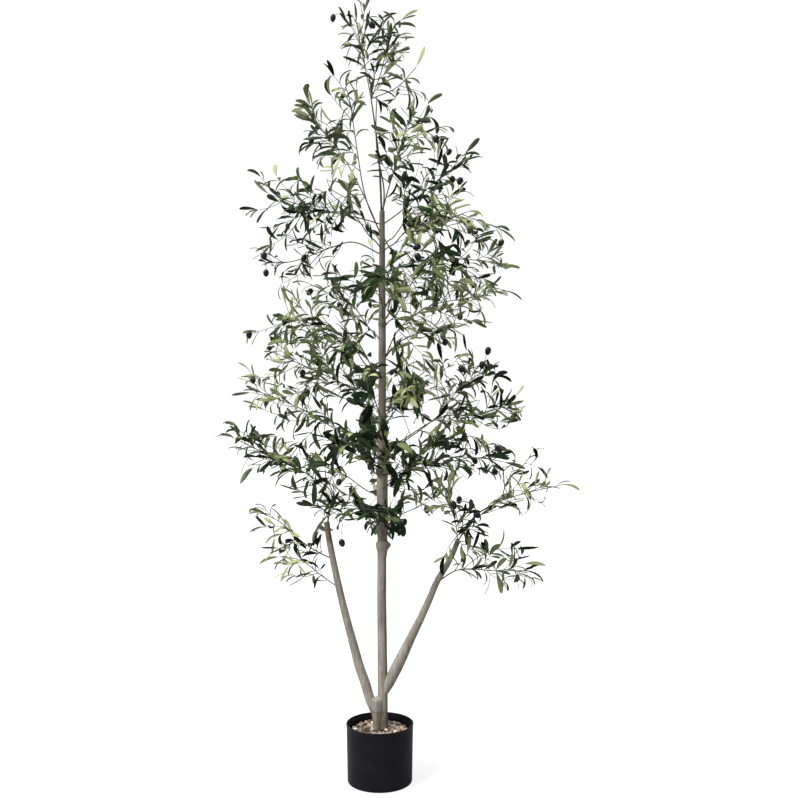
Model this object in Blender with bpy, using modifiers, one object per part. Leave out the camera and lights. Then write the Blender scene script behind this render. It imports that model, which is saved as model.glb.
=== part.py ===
"""Potted artificial olive tree, about 2.1 m tall.

A straight three-part stem stands in a plain round pot filled level with
pebbles.  Two side boughs leave it near the foot, and wire branches leave it
all the way up, each ending in a loose mass of leaves.

Frame: metres, +Z up, the origin at the centre of the pot's flat underside.
+X is to the right and -Y is towards the viewer when the tree is seen from
the front.
"""

import math
import random
import zlib
from typing import NamedTuple

import bmesh
import bpy
from mathutils import Vector

# ---------------------------------------------------------------- main sizes
GAP = 0.0003  # clearance between neighbouring pieces
CUT_GAP = 0.0004  # clearance where a limb is cut to the side of the stem

# pot
POT_HEIGHT = 0.157
POT_RIM_RADIUS = 0.0909
POT_BASE_RADIUS = 0.0872
POT_FOOT_ROUND = 0.0040
POT_WALL = 0.0024
POT_FLOOR = 0.0040
POT_LIP_DEPTH = 0.006
POT_LIP_OUT = 0.0009
POT_STEPS = 48

# pebble-topped fill
FILL_TOP = 0.1400
FILL_FLAT_RADIUS = 0.0752
FILL_SHOULDER_DROP = 0.0085

# stem: (height, half width), foot to tip
STEM_PROFILE = (
    (FILL_TOP + GAP, 0.0180),
    (0.158, 0.0184),
    (0.186, 0.0200),
    (0.1935, 0.0213),
    (0.1985, 0.0203),
    (0.219, 0.0212),
    (0.2240, 0.0202),
    (0.2275, 0.0140),
    (0.246, 0.0134),
    (0.290, 0.0132),
    (0.382, 0.0126),
    (0.490, 0.0123),
    (0.598, 0.0120),
    (0.620, 0.0136),
    (0.632, 0.0176),
    (0.643, 0.0176),
    (0.652, 0.0150),
    (0.680, 0.0168),
    (0.706, 0.0166),
    (0.760, 0.0150),
    (0.825, 0.0150),
    (0.832, 0.0182),
    (0.842, 0.0182),
    (0.849, 0.0134),
    (0.900, 0.0119),
    (1.000, 0.0103),
    (1.120, 0.0100),
    (1.226, 0.0099),
    (1.231, 0.0112),
    (1.239, 0.0112),
    (1.244, 0.0094),
    (1.380, 0.0085),
    (1.540, 0.0070),
)
# stem: (height, sideways shift of its middle)
STEM_LEAN = (
    (0.140, 0.0004),
    (0.219, 0.0000),
    (0.2240, 0.0006),
    (0.2275, 0.0072),
    (0.246, 0.0074),
    (0.382, 0.0062),
    (0.490, 0.0048),
    (0.598, 0.0052),
    (0.636, 0.0076),
    (0.680, 0.0065),
    (1.540, 0.0060),
)
STEM_SIDES = 12
STEM_FOOT_LOBES = 3
STEM_FOOT_LOBE_DEPTH = 0.035  # share of the half width, fading out above the foot
STEM_FOOT_LOBE_TOP = 0.22

# side boughs: (height, how far out, how far back, half width), foot to tip
BOUGH_LEFT = (
    (0.163, -0.0055, 0.006, 0.0095),
    (0.190, -0.0165, 0.010, 0.0120),
    (0.219, -0.0280, 0.012, 0.0133),
    (0.262, -0.0410, 0.013, 0.0132),
    (0.300, -0.0545, 0.014, 0.0127),
    (0.382, -0.0770, 0.015, 0.0110),
    (0.490, -0.1050, 0.015, 0.0096),
    (0.598, -0.1285, 0.014, 0.0088),
    (0.652, -0.1385, 0.012, 0.0082),
    (0.698, -0.1450, 0.010, 0.0076),
)
BOUGH_RIGHT = (
    (0.236, 0.0110, -0.002, 0.0090),
    (0.262, 0.0230, -0.005, 0.0140),
    (0.300, 0.0410, -0.009, 0.0157),
    (0.341, 0.0610, -0.013, 0.0144),
    (0.382, 0.0800, -0.016, 0.0124),
    (0.436, 0.1060, -0.020, 0.0106),
    (0.490, 0.1310, -0.023, 0.0092),
    (0.544, 0.1540, -0.025, 0.0085),
    (0.598, 0.1860, -0.026, 0.0076),
    (0.655, 0.2110, -0.026, 0.0068),
)
LEADER = (
    (1.5404, 0.0045, 0.000, 0.0030),
    (1.672, -0.0020, 0.001, 0.0026),
    (1.770, -0.0130, 0.002, 0.0022),
    (1.846, -0.0240, 0.003, 0.0018),
)
BOUGH_RESOLUTION = 3  # 10 sides
WIRE_RESOLUTION = 1  # 6 sides
WIRE_RADIUS = 0.0030
WIRE_TIP_RADIUS = 0.0019
WIRE_RISE_SHARE = 0.62  # how much of its rise a wire has made halfway out


class Mass(NamedTuple):
    """One mass of leaves on one branch, in the upright plane of the branch."""

    name: str
    limb: str  # what its branch grows on
    foot: float  # height where the branch leaves that limb
    turn: float  # compass angle of the branch, degrees, 0 right and 90 back
    near: float  # how far out the leaves begin
    near_height: float
    far: float  # how far out the furthest leaf tip is
    far_height: float
    girth: float  # half width of the mass
    wire: bool = False  # the bare wire from limb to leaves is a piece of its own


MASSES = (
    # top of the crown, on the leader
    Mass("foliage_tip_left", "leader", 1.846, 200, 0.010, 1.950, 0.064, 2.096, 0.052),
    Mass("foliage_tip_right", "leader", 1.846, 21, 0.036, 1.950, 0.090, 2.084, 0.048),
    Mass("foliage_tip_core", "leader", 1.846, 43, 0.000, 1.848, 0.020, 1.944, 0.056),
    Mass("foliage_top_left", "stem", 1.470, 202, 0.085, 1.725, 0.158, 1.925, 0.042),
    Mass("foliage_top_right", "leader", 1.846, 28, 0.072, 1.848, 0.168, 1.986, 0.036),
    Mass("foliage_upper_left", "stem", 1.468, 160, 0.073, 1.604, 0.278, 1.854, 0.058, True),
    Mass("foliage_upper_right", "stem", 1.536, -20, 0.036, 1.625, 0.158, 1.845, 0.064),
    # upper whorl
    Mass("foliage_high_right", "stem", 1.503, 34, 0.112, 1.612, 0.322, 1.728, 0.062),
    Mass("foliage_left_a", "stem", 1.504, 190, 0.092, 1.522, 0.372, 1.588, 0.070, True),
    Mass("foliage_right_a", "stem", 1.476, -17, 0.056, 1.553, 0.284, 1.530, 0.066),
    Mass("foliage_back_left_a", "stem", 1.449, 124, 0.072, 1.508, 0.328, 1.706, 0.058),
    Mass("foliage_back_right_a", "stem", 1.440, 68, 0.075, 1.480, 0.330, 1.618, 0.058),
    Mass("foliage_front_left_a", "stem", 1.436, -122, 0.064, 1.466, 0.268, 1.560, 0.060),
    Mass("foliage_front_right_a", "stem", 1.430, -60, 0.068, 1.444, 0.290, 1.478, 0.062),
    # second whorl
    Mass("foliage_left_b", "stem", 1.422, 172, 0.100, 1.468, 0.378, 1.448, 0.056, True),
    Mass("foliage_right_b", "stem", 1.368, 8, 0.084, 1.404, 0.378, 1.428, 0.068),
    Mass("foliage_front_b", "stem", 1.252, -88, 0.080, 1.272, 0.386, 1.340, 0.076),
    Mass("foliage_back_b", "stem", 1.252, 83, 0.080, 1.292, 0.364, 1.430, 0.068),
    Mass("foliage_front_right_b", "stem", 1.219, -60, 0.066, 1.250, 0.276, 1.372, 0.060),
    Mass("foliage_back_left_b", "stem", 1.179, 120, 0.073, 1.228, 0.340, 1.392, 0.068),
    # middle whorl
    Mass("foliage_left_c", "stem", 1.096, 196, 0.096, 1.178, 0.358, 1.266, 0.080),
    Mass("foliage_right_c", "stem", 1.124, -5, 0.137, 1.282, 0.362, 1.316, 0.054, True),
    Mass("foliage_back_right_c", "stem", 1.132, 42, 0.076, 1.196, 0.330, 1.262, 0.064),
    Mass("foliage_front_left_c", "stem", 1.084, -110, 0.070, 1.114, 0.310, 1.218, 0.068),
    Mass("foliage_left_d", "stem", 0.967, 169, 0.100, 1.072, 0.340, 1.148, 0.074),
    Mass("foliage_right_d", "stem", 0.894, 15, 0.168, 1.040, 0.330, 1.150, 0.070),
    Mass("foliage_front_right_d", "stem", 0.976, -66, 0.068, 1.004, 0.306, 1.116, 0.080),
    Mass("foliage_front_d", "stem", 0.976, -94, 0.082, 0.994, 0.424, 1.086, 0.060),
    Mass("foliage_back_d", "stem", 0.948, 76, 0.085, 0.980, 0.410, 1.094, 0.064),
    Mass("foliage_back_left_d", "stem", 0.948, 114, 0.080, 0.992, 0.360, 1.142, 0.062),
    # lower whorl
    Mass("foliage_left_e", "stem", 0.921, 166, 0.122, 0.946, 0.386, 1.066, 0.066),
    Mass("foliage_right_e", "stem", 0.894, -15, 0.170, 0.986, 0.392, 1.028, 0.056, True),
    Mass("foliage_left_f", "bough_left", 0.690, 190, 0.047, 0.836, 0.298, 0.946, 0.054),
    Mass("foliage_front_left_f", "stem", 0.813, -106, 0.076, 0.840, 0.346, 0.950, 0.078),
    Mass("foliage_front_right_f", "stem", 0.786, -76, 0.080, 0.810, 0.372, 0.896, 0.076),
    Mass("foliage_right_f", "stem", 0.800, 18, 0.121, 0.890, 0.406, 0.886, 0.072, True),
    Mass("foliage_back_f", "stem", 0.786, 90, 0.090, 0.808, 0.422, 0.890, 0.066),
    Mass("foliage_back_left_f", "stem", 0.759, 124, 0.086, 0.780, 0.388, 0.850, 0.058),
    # lowest, round the tops of the side boughs
    Mass("foliage_bough_left", "bough_left", 0.683, 121, 0.000, 0.700, 0.036, 0.826, 0.054),
    Mass("foliage_front_g", "stem", 0.664, -86, 0.064, 0.690, 0.312, 0.776, 0.060),
    Mass("foliage_back_left_g", "stem", 0.664, 107, 0.083, 0.676, 0.376, 0.722, 0.054),
    Mass("foliage_back_right_g", "stem", 0.664, 74, 0.083, 0.676, 0.376, 0.730, 0.054),
    Mass("foliage_bough_right", "bough_right", 0.651, 210, 0.004, 0.660, 0.062, 0.850, 0.044),
    Mass("foliage_right_g", "bough_right", 0.655, 14, 0.040, 0.700, 0.236, 0.920, 0.046),
    Mass("foliage_right_h", "bough_right", 0.655, -9, 0.116, 0.756, 0.336, 0.822, 0.040),
    Mass("foliage_right_low", "bough_right", 0.540, 0, 0.056, 0.602, 0.302, 0.580, 0.058),
    Mass("foliage_left_g", "bough_left", 0.597, 170, 0.026, 0.621, 0.248, 0.738, 0.044),
    Mass("foliage_left_low", "bough_left", 0.518, 188, 0.038, 0.542, 0.240, 0.612, 0.046),
)

# ---------------------------------------------------------- shape of a mass
MASS_AROUND = 9
MASS_ALONG = 8
MASS_BULGE_BIAS = 0.85  # under 1 the widest place is nearer the limb
MASS_FULLNESS = 0.60  # under 1 the mass is blunter than an egg
MASS_UNEVEN = 0.32
MASS_BETWEEN = 0.0016  # clearance between two masses
MASS_FROM_LIMB = 0.0012  # clearance to stem, boughs and other wires
MASS_FROM_WIRE_END = 0.0004
MASS_ON_TIP = 0.012  # a mass that starts this near a limb's tip grows on it

# ------------------------------------------------------------------ colours
LEAF = (0.060, 0.110, 0.040, 1.0)
BARK = (0.235, 0.215, 0.185, 1.0)
WIRE = (0.150, 0.155, 0.105, 1.0)
POT = (0.014, 0.014, 0.017, 1.0)
PEBBLE = (0.300, 0.240, 0.190, 1.0)


def clear_scene():
    for obj in list(bpy.data.objects):
        bpy.data.objects.remove(obj, do_unlink=True)


def new_collection(name, hidden=False):
    collection = bpy.data.collections.new(name)
    bpy.context.scene.collection.children.link(collection)
    collection.hide_render = hidden
    return collection


def make_material(name, colour, roughness, metallic=0.0):
    material = bpy.data.materials.new(name)
    material.use_nodes = True
    shader = material.node_tree.nodes["Principled BSDF"]
    shader.inputs["Base Color"].default_value = colour
    shader.inputs["Roughness"].default_value = roughness
    shader.inputs["Metallic"].default_value = metallic
    material.diffuse_color = colour
    return material


def add_object(name, data, collection, material=None):
    obj = bpy.data.objects.new(name, data)
    collection.objects.link(obj)
    if material is not None:
        data.materials.clear()
        data.materials.append(material)
    return obj


def as_guide(obj):
    obj.hide_render = True
    obj.display_type = "WIRE"
    return obj


def between(table, height):
    """Value at a height, from (height, value) rows, going straight between them."""
    if height <= table[0][0]:
        return table[0][1]
    for (z0, v0), (z1, v1) in zip(table, table[1:]):
        if height <= z1:
            return v0 + (v1 - v0) * (height - z0) / (z1 - z0)
    return table[-1][1]


# ------------------------------------------------------------ turned pieces
def turned(name, profile, steps, collection, material=None):
    """A solid turned round Z from (radius, height) points.

    The outline starts and ends on the axis and runs down its outer side.
    """
    mesh = bpy.data.meshes.new(name)
    points = [(radius, 0.0, height) for radius, height in profile]
    mesh.from_pydata(points, [(i, i + 1) for i in range(len(points) - 1)], [])
    obj = add_object(name, mesh, collection, material)
    screw = obj.modifiers.new("Turn", "SCREW")
    screw.axis = "Z"
    screw.angle = math.tau
    screw.steps = steps
    screw.render_steps = steps
    screw.use_merge_vertices = True
    screw.merge_threshold = 0.00005
    screw.use_smooth_shade = True
    return obj


def pot_outside(height):
    """Outer half width of the pot's plain wall."""
    share = height / POT_HEIGHT
    return POT_BASE_RADIUS + (POT_RIM_RADIUS - POT_LIP_OUT - POT_BASE_RADIUS) * share


def pot_inside(height):
    return pot_outside(height) - POT_WALL


def make_pot(collection, material):
    rim_in = pot_inside(POT_HEIGHT)
    outline = [(0.0, POT_FLOOR), (pot_inside(POT_FLOOR) - 0.003, POT_FLOOR)]
    outline += [(pot_inside(POT_FLOOR + 0.003), POT_FLOOR + 0.003)]
    outline += [(rim_in, POT_HEIGHT - 0.0007), (rim_in + 0.0007, POT_HEIGHT)]
    outline += [(POT_RIM_RADIUS - 0.0007, POT_HEIGHT)]
    outline += [(POT_RIM_RADIUS, POT_HEIGHT - 0.0007)]
    lip = POT_HEIGHT - POT_LIP_DEPTH
    outline += [(POT_RIM_RADIUS, lip + 0.001), (pot_outside(lip), lip)]
    # rounded edge of the foot, as a quarter circle
    middle = pot_outside(POT_FOOT_ROUND) - POT_FOOT_ROUND
    for k in range(5):
        angle = math.radians(22.5 * k)
        outline.append(
            (
                middle + POT_FOOT_ROUND * math.cos(angle),
                POT_FOOT_ROUND * (1 - math.sin(angle)),
            )
        )
    outline.append((0.0, 0.0))
    return turned("pot", outline, POT_STEPS, collection, material)


def make_fill(collection, material):
    bottom = POT_FLOOR + GAP
    shoulder = FILL_TOP - FILL_SHOULDER_DROP
    clear = GAP * 1.4  # the turned walls are flat between steps
    outline = [
        (0.0, FILL_TOP),
        (FILL_FLAT_RADIUS * 0.5, FILL_TOP),
        (FILL_FLAT_RADIUS, FILL_TOP - 0.0012),
        (FILL_FLAT_RADIUS + 0.0050, shoulder + 0.0025),
        (pot_inside(shoulder) - clear, shoulder),
        (pot_inside(bottom + 0.004) - clear, bottom + 0.004),
        (pot_inside(bottom) - 0.005, bottom),
        (0.0, bottom),
    ]
    return turned("fill", outline, POT_STEPS, collection, material)


# -------------------------------------------------------------------- stem
def stem_middle(height):
    return Vector((between(STEM_LEAN, height), 0.0, height))


def make_stem(name, collection, material=None, extra=0.0):
    """The stem, or with extra the same shape let out by that much all round."""
    rings = [(radius + extra, height) for height, radius in STEM_PROFILE]
    if extra:
        rings[0] = (rings[0][0], rings[0][1] - 0.02)
        rings[-1] = (rings[-1][0], rings[-1][1] + 0.02)
    top, foot = rings[-1][1], rings[0][1]
    outline = [(0.0, top), *reversed(rings), (0.0, foot)]
    guide = turned(name + "_outline", outline, STEM_SIDES, collection)
    mesh = applied(guide, name)
    for vertex in mesh.vertices:
        height = vertex.co.z
        fade = max(0.0, 1 - (height - FILL_TOP) / (STEM_FOOT_LOBE_TOP - FILL_TOP))
        angle = math.atan2(vertex.co.y, vertex.co.x)
        lobe = 1 + STEM_FOOT_LOBE_DEPTH * min(fade, 1.0) * math.cos(
            STEM_FOOT_LOBES * angle
        )
        vertex.co.x = vertex.co.x * lobe + between(STEM_LEAN, height)
        vertex.co.y = vertex.co.y * lobe
    return add_object(name, mesh, collection, material)


def applied(obj, name):
    """The evaluated mesh of an object with its seams welded; the object goes."""
    graph = bpy.context.evaluated_depsgraph_get()
    mesh = bpy.data.meshes.new_from_object(obj.evaluated_get(graph))
    mesh.name = name
    mesh.transform(obj.matrix_world)
    work = bmesh.new()
    work.from_mesh(mesh)
    bmesh.ops.remove_doubles(work, verts=work.verts, dist=0.00002)
    bmesh.ops.recalc_face_normals(work, faces=work.faces)
    work.to_mesh(mesh)
    work.free()
    bpy.data.objects.remove(obj, do_unlink=True)
    return mesh


# ------------------------------------------------------------------- limbs
def limb_points(rows):
    return [Vector((out, back, height)) for height, out, back, _ in rows]


def make_limb(name, points, radii, resolution, collection, material):
    """A tapering round limb along straight runs between points."""
    widest = max(radii)
    curve = bpy.data.curves.new(name + "_path", "CURVE")
    curve.dimensions = "3D"
    curve.bevel_depth = widest
    curve.bevel_resolution = resolution
    curve.use_fill_caps = True
    spline = curve.splines.new("POLY")
    spline.points.add(len(points) - 1)
    for place, point, radius in zip(spline.points, points, radii):
        place.co = (*point, 1.0)
        place.radius = radius / widest
    path = bpy.data.objects.new(name + "_path", curve)
    collection.objects.link(path)
    bpy.context.view_layer.update()
    obj = add_object(name, applied(path, name), collection, material)
    for polygon in obj.data.polygons:
        polygon.use_smooth = True
    return obj


def cut_away(obj, cutter):
    cut = obj.modifiers.new("Cut to the stem", "BOOLEAN")
    cut.operation = "DIFFERENCE"
    cut.solver = "EXACT"
    cut.object = cutter


def limb_middle(limb, height):
    """Middle of a limb at a height."""
    if limb == "stem":
        return stem_middle(height)
    rows = {"bough_left": BOUGH_LEFT, "bough_right": BOUGH_RIGHT, "leader": LEADER}
    table = rows[limb]
    out = between([(row[0], row[1]) for row in table], height)
    back = between([(row[0], row[2]) for row in table], height)
    return Vector((out, back, height))


def mass_ends(mass):
    """The two ends of the middle line of a mass."""
    foot = limb_middle(mass.limb, mass.foot)
    angle = math.radians(mass.turn)
    away = Vector((math.cos(angle), math.sin(angle), 0.0))
    start = foot + away * mass.near
    start.z = mass.near_height
    end = foot + away * mass.far
    end.z = mass.far_height
    return start, end


def wire_points(mass):
    """A bare wire from inside its limb, rising fast and then levelling out."""
    foot = limb_middle(mass.limb, mass.foot)
    start, end = mass_ends(mass)
    middle = foot.lerp(start, 0.5)
    middle.z = foot.z + (start.z - foot.z) * WIRE_RISE_SHARE
    last = start - (start - middle).normalized() * MASS_FROM_WIRE_END
    return [foot, foot.lerp(middle, 0.5), middle, middle.lerp(last, 0.5), last]


# ------------------------------------------------------------------ masses
def nearest(a0, a1, b0, b1):
    """The nearest points of two straight runs."""
    u, v, w = a1 - a0, b1 - b0, a0 - b0
    a, b, c, d, e = u.dot(u), u.dot(v), v.dot(v), u.dot(w), v.dot(w)
    spread = a * c - b * b
    s = min(max((b * e - c * d) / spread, 0.0), 1.0) if spread > 1e-12 else 0.0
    for _ in range(4):
        t = min(max((v.dot(a0 + u * s - b0)) / c, 0.0), 1.0)
        s = min(max((u.dot(b0 + v * t - a0)) / a, 0.0), 1.0)
    return a0 + u * s, b0 + v * t


def walls_round(index, runs, limbs, own_wire):
    """Flat walls that a mass stays behind, as (direction, furthest) pairs."""
    start, end = runs[index]
    girth = MASSES[index].girth
    walls = []
    for other, (b0, b1) in enumerate(runs):
        if other == index:
            continue
        here, there = nearest(start, end, b0, b1)
        apart = (there - here).length
        way = (there - here) / apart
        share = girth / (girth + MASSES[other].girth)
        walls.append((way, way.dot(here) + apart * share - MASS_BETWEEN / 2))
    for owner, b0, b1, radius in limbs:
        if owner == own_wire:
            continue
        if (start - b1).length < MASS_ON_TIP:
            continue  # it grows on this tip, and has a wall of its own there
        here, there = nearest(start, end, b0, b1)
        apart = (there - here).length
        if apart - radius < MASS_FROM_LIMB:
            raise ValueError(
                f"{MASSES[index].name} runs into {owner} at {there.z:.3f}: {apart:.4f}"
            )
        way = (there - here) / apart
        walls.append((way, way.dot(here) + apart - radius - MASS_FROM_LIMB))
    return walls


def make_mass(index, runs, limbs, wires, collection, material):
    """An uneven lump along its run, kept behind its walls."""
    mass = MASSES[index]
    start, end = runs[index]
    own = "wire_" + mass.name
    walls = walls_round(index, runs, limbs, own)
    if own in wires:
        before, last = wires[own][-2], wires[own][-1]
        way = (before - last).normalized()
        walls.append((way, way.dot(last) - MASS_FROM_WIRE_END * 0.8))
    for tip, way in ends_of_limbs():
        if (start - tip).length < MASS_ON_TIP:
            walls.append((-way, -way.dot(tip) - MASS_FROM_WIRE_END))
    along = (end - start).normalized()
    side = along.cross(Vector((0.0, 0.0, 1.0)))
    side = side.normalized() if side.length > 0.05 else Vector((1.0, 0.0, 0.0))
    up = along.cross(side).normalized()
    dice = random.Random(zlib.crc32(mass.name.encode()))
    waves = [
        (dice.uniform(0, math.tau), dice.choice((2, 3, 4)), dice.uniform(2.0, 5.0))
        for _ in range(3)
    ]
    work = bmesh.new()
    bmesh.ops.create_uvsphere(
        work, u_segments=MASS_AROUND, v_segments=MASS_ALONG, radius=1.0
    )
    for vertex in work.verts:
        x, y, z = vertex.co
        share = (z + 1) / 2
        middle = start.lerp(end, share)
        if abs(z) > 0.999:
            vertex.co = middle
            continue
        angle = math.atan2(y, x)
        swell = math.sin(math.pi * share**MASS_BULGE_BIAS) ** MASS_FULLNESS
        uneven = sum(
            math.cos(lobes * angle + phase + share * pitch)
            for phase, lobes, pitch in waves
        )
        radius = mass.girth * swell * (1 + MASS_UNEVEN * uneven / 3)
        radius *= 1 + MASS_UNEVEN * dice.uniform(-0.8, 0.8)
        reach = (side * math.cos(angle) + up * math.sin(angle)) * radius
        for way, furthest in walls:
            beyond = way.dot(middle + reach)
            if beyond > furthest:
                reach *= (furthest - way.dot(middle)) / way.dot(reach)
        vertex.co = middle + reach
    mesh = bpy.data.meshes.new(mass.name)
    work.to_mesh(mesh)
    work.free()
    return add_object(mass.name, mesh, collection, material)


def ends_of_limbs():
    """The tips of the limbs that end in a mass, each with its direction."""
    found = []
    for rows in (BOUGH_LEFT, BOUGH_RIGHT, LEADER):
        points = limb_points(rows)
        found.append((points[-1], (points[-1] - points[-2]).normalized()))
    return found


def straight_runs():
    """Every limb as (name, end, end, half width) runs."""
    runs = []
    rings = [(stem_middle(z), radius) for z, radius in STEM_PROFILE]
    for (p0, r0), (p1, r1) in zip(rings, rings[1:]):
        runs.append(("stem", p0, p1, max(r0, r1) * 1.03))
    limbs = (("bough_left", BOUGH_LEFT), ("bough_right", BOUGH_RIGHT))
    for name, rows in (*limbs, ("leader", LEADER)):
        points = limb_points(rows)
        radii = [row[3] for row in rows]
        for k in range(len(points) - 1):
            runs.append((name, points[k], points[k + 1], max(radii[k : k + 2])))
    return runs


def main():
    clear_scene()
    parts = new_collection("potted_olive_tree")
    cutters = new_collection("cutters", hidden=True)
    bark = make_material("bark", BARK, 0.75)
    wire_coat = make_material("wire_coat", WIRE, 0.6)

    make_pot(parts, make_material("pot_plastic", POT, 0.45))
    make_fill(parts, make_material("pebbles", PEBBLE, 0.8))
    make_stem("trunk", parts, bark)
    clearance = as_guide(make_stem("trunk_clearance", cutters, extra=CUT_GAP))

    for name, rows in (("bough_left", BOUGH_LEFT), ("bough_right", BOUGH_RIGHT)):
        radii = [row[3] for row in rows]
        points = limb_points(rows)
        bough = make_limb(name, points, radii, BOUGH_RESOLUTION, parts, bark)
        cut_away(bough, clearance)
    radii = [row[3] for row in LEADER]
    make_limb("leader", limb_points(LEADER), radii, WIRE_RESOLUTION, parts, wire_coat)

    limbs = straight_runs()
    wires = {}
    for mass in MASSES:
        if not mass.wire:
            continue
        name = "wire_" + mass.name
        points = wire_points(mass)
        wires[name] = points
        step = (WIRE_TIP_RADIUS - WIRE_RADIUS) / (len(points) - 1)
        radii = [WIRE_RADIUS + step * k for k in range(len(points))]
        wire = make_limb(name, points, radii, WIRE_RESOLUTION, parts, wire_coat)
        cut_away(wire, clearance)
        for k in range(len(points) - 1):
            limbs.append((name, points[k], points[k + 1], WIRE_RADIUS))

    leaves = make_material("leaves", LEAF, 0.8)
    runs = [mass_ends(mass) for mass in MASSES]
    for index in range(len(MASSES)):
        make_mass(index, runs, limbs, wires, parts, leaves)


main()
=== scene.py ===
"""Looks of the potted artificial olive tree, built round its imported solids.

The stem and the side boughs get a mesh with the bark's relief.  Each mass of
leaves is replaced by a wire branch that forks by a seeded rule and carries
pairs of narrow leaves and a few olives.  The pot is a turned shell filled with
loose pebbles.

Frame: metres, +Z up, the origin at the centre of the pot's flat underside.
"""

import math
import random
import zlib

import bpy
import numpy as np
from mathutils import Matrix, Vector, noise


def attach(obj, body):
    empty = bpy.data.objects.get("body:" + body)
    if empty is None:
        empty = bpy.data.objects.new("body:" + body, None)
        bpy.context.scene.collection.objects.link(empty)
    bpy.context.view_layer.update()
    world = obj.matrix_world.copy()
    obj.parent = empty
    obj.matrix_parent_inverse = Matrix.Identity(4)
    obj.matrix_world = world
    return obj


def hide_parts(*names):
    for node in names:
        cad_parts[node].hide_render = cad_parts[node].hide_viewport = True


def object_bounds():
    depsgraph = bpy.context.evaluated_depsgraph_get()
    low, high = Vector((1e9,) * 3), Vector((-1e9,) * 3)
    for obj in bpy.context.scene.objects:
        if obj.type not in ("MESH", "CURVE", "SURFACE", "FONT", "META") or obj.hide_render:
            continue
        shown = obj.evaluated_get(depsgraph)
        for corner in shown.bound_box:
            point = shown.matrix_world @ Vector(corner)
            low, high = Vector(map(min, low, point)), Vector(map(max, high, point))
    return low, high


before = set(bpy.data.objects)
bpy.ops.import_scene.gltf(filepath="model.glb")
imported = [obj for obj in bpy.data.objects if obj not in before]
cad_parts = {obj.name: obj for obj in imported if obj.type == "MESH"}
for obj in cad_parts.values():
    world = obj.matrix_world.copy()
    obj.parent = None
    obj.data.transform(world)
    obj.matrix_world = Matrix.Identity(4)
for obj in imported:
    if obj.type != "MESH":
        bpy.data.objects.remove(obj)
cad_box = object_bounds()

# ------------------------------------------------------------- the camera
FRAME_SIDE = 799.0  # width and height of the picture, in its own pixels
EYE = Vector((0.053, -2.62, 1.031))
FOCAL = 968.0  # in pixels
SENSOR = 36.0

# ------------------------------------------------- sizes of stem and boughs
STEM_PROFILE = (
    (0.1403, 0.0180),
    (0.158, 0.0184),
    (0.186, 0.0200),
    (0.1935, 0.0213),
    (0.1985, 0.0203),
    (0.219, 0.0212),
    (0.2240, 0.0202),
    (0.2275, 0.0140),
    (0.246, 0.0134),
    (0.290, 0.0132),
    (0.382, 0.0126),
    (0.490, 0.0123),
    (0.598, 0.0120),
    (0.620, 0.0136),
    (0.632, 0.0176),
    (0.6435, 0.0174),
    (0.6470, 0.0126),
    (0.656, 0.0134),
    (0.680, 0.0164),
    (0.706, 0.0166),
    (0.760, 0.0150),
    (0.825, 0.0150),
    (0.832, 0.0182),
    (0.842, 0.0182),
    (0.849, 0.0134),
    (0.900, 0.0119),
    (1.000, 0.0103),
    (1.120, 0.0100),
    (1.226, 0.0099),
    (1.231, 0.0112),
    (1.239, 0.0112),
    (1.244, 0.0094),
    (1.380, 0.0085),
    (1.540, 0.0070),
)
STEM_LEAN = (
    (0.140, 0.0004),
    (0.219, 0.0000),
    (0.2240, 0.0006),
    (0.2275, 0.0072),
    (0.246, 0.0074),
    (0.382, 0.0062),
    (0.490, 0.0048),
    (0.598, 0.0052),
    (0.636, 0.0076),
    (0.680, 0.0065),
    (1.540, 0.0060),
)
BOUGH_LEFT = (
    (0.163, -0.0055, 0.006, 0.0095),
    (0.190, -0.0165, 0.010, 0.0120),
    (0.219, -0.0280, 0.012, 0.0133),
    (0.262, -0.0410, 0.013, 0.0132),
    (0.300, -0.0545, 0.014, 0.0127),
    (0.382, -0.0770, 0.015, 0.0110),
    (0.490, -0.1050, 0.015, 0.0096),
    (0.598, -0.1285, 0.014, 0.0088),
    (0.652, -0.1385, 0.012, 0.0082),
    (0.698, -0.1450, 0.010, 0.0076),
)
BOUGH_RIGHT = (
    (0.236, 0.0110, -0.002, 0.0090),
    (0.262, 0.0230, -0.005, 0.0140),
    (0.300, 0.0410, -0.009, 0.0157),
    (0.341, 0.0610, -0.013, 0.0144),
    (0.382, 0.0800, -0.016, 0.0124),
    (0.436, 0.1060, -0.020, 0.0106),
    (0.490, 0.1310, -0.023, 0.0092),
    (0.544, 0.1540, -0.025, 0.0085),
    (0.598, 0.1860, -0.026, 0.0076),
    (0.655, 0.2110, -0.026, 0.0068),
)
LEADER = (
    (1.5404, 0.0045, 0.000, 0.0030),
    (1.672, -0.0020, 0.001, 0.0026),
    (1.770, -0.0130, 0.002, 0.0022),
    (1.846, -0.0240, 0.003, 0.0018),
)

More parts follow.
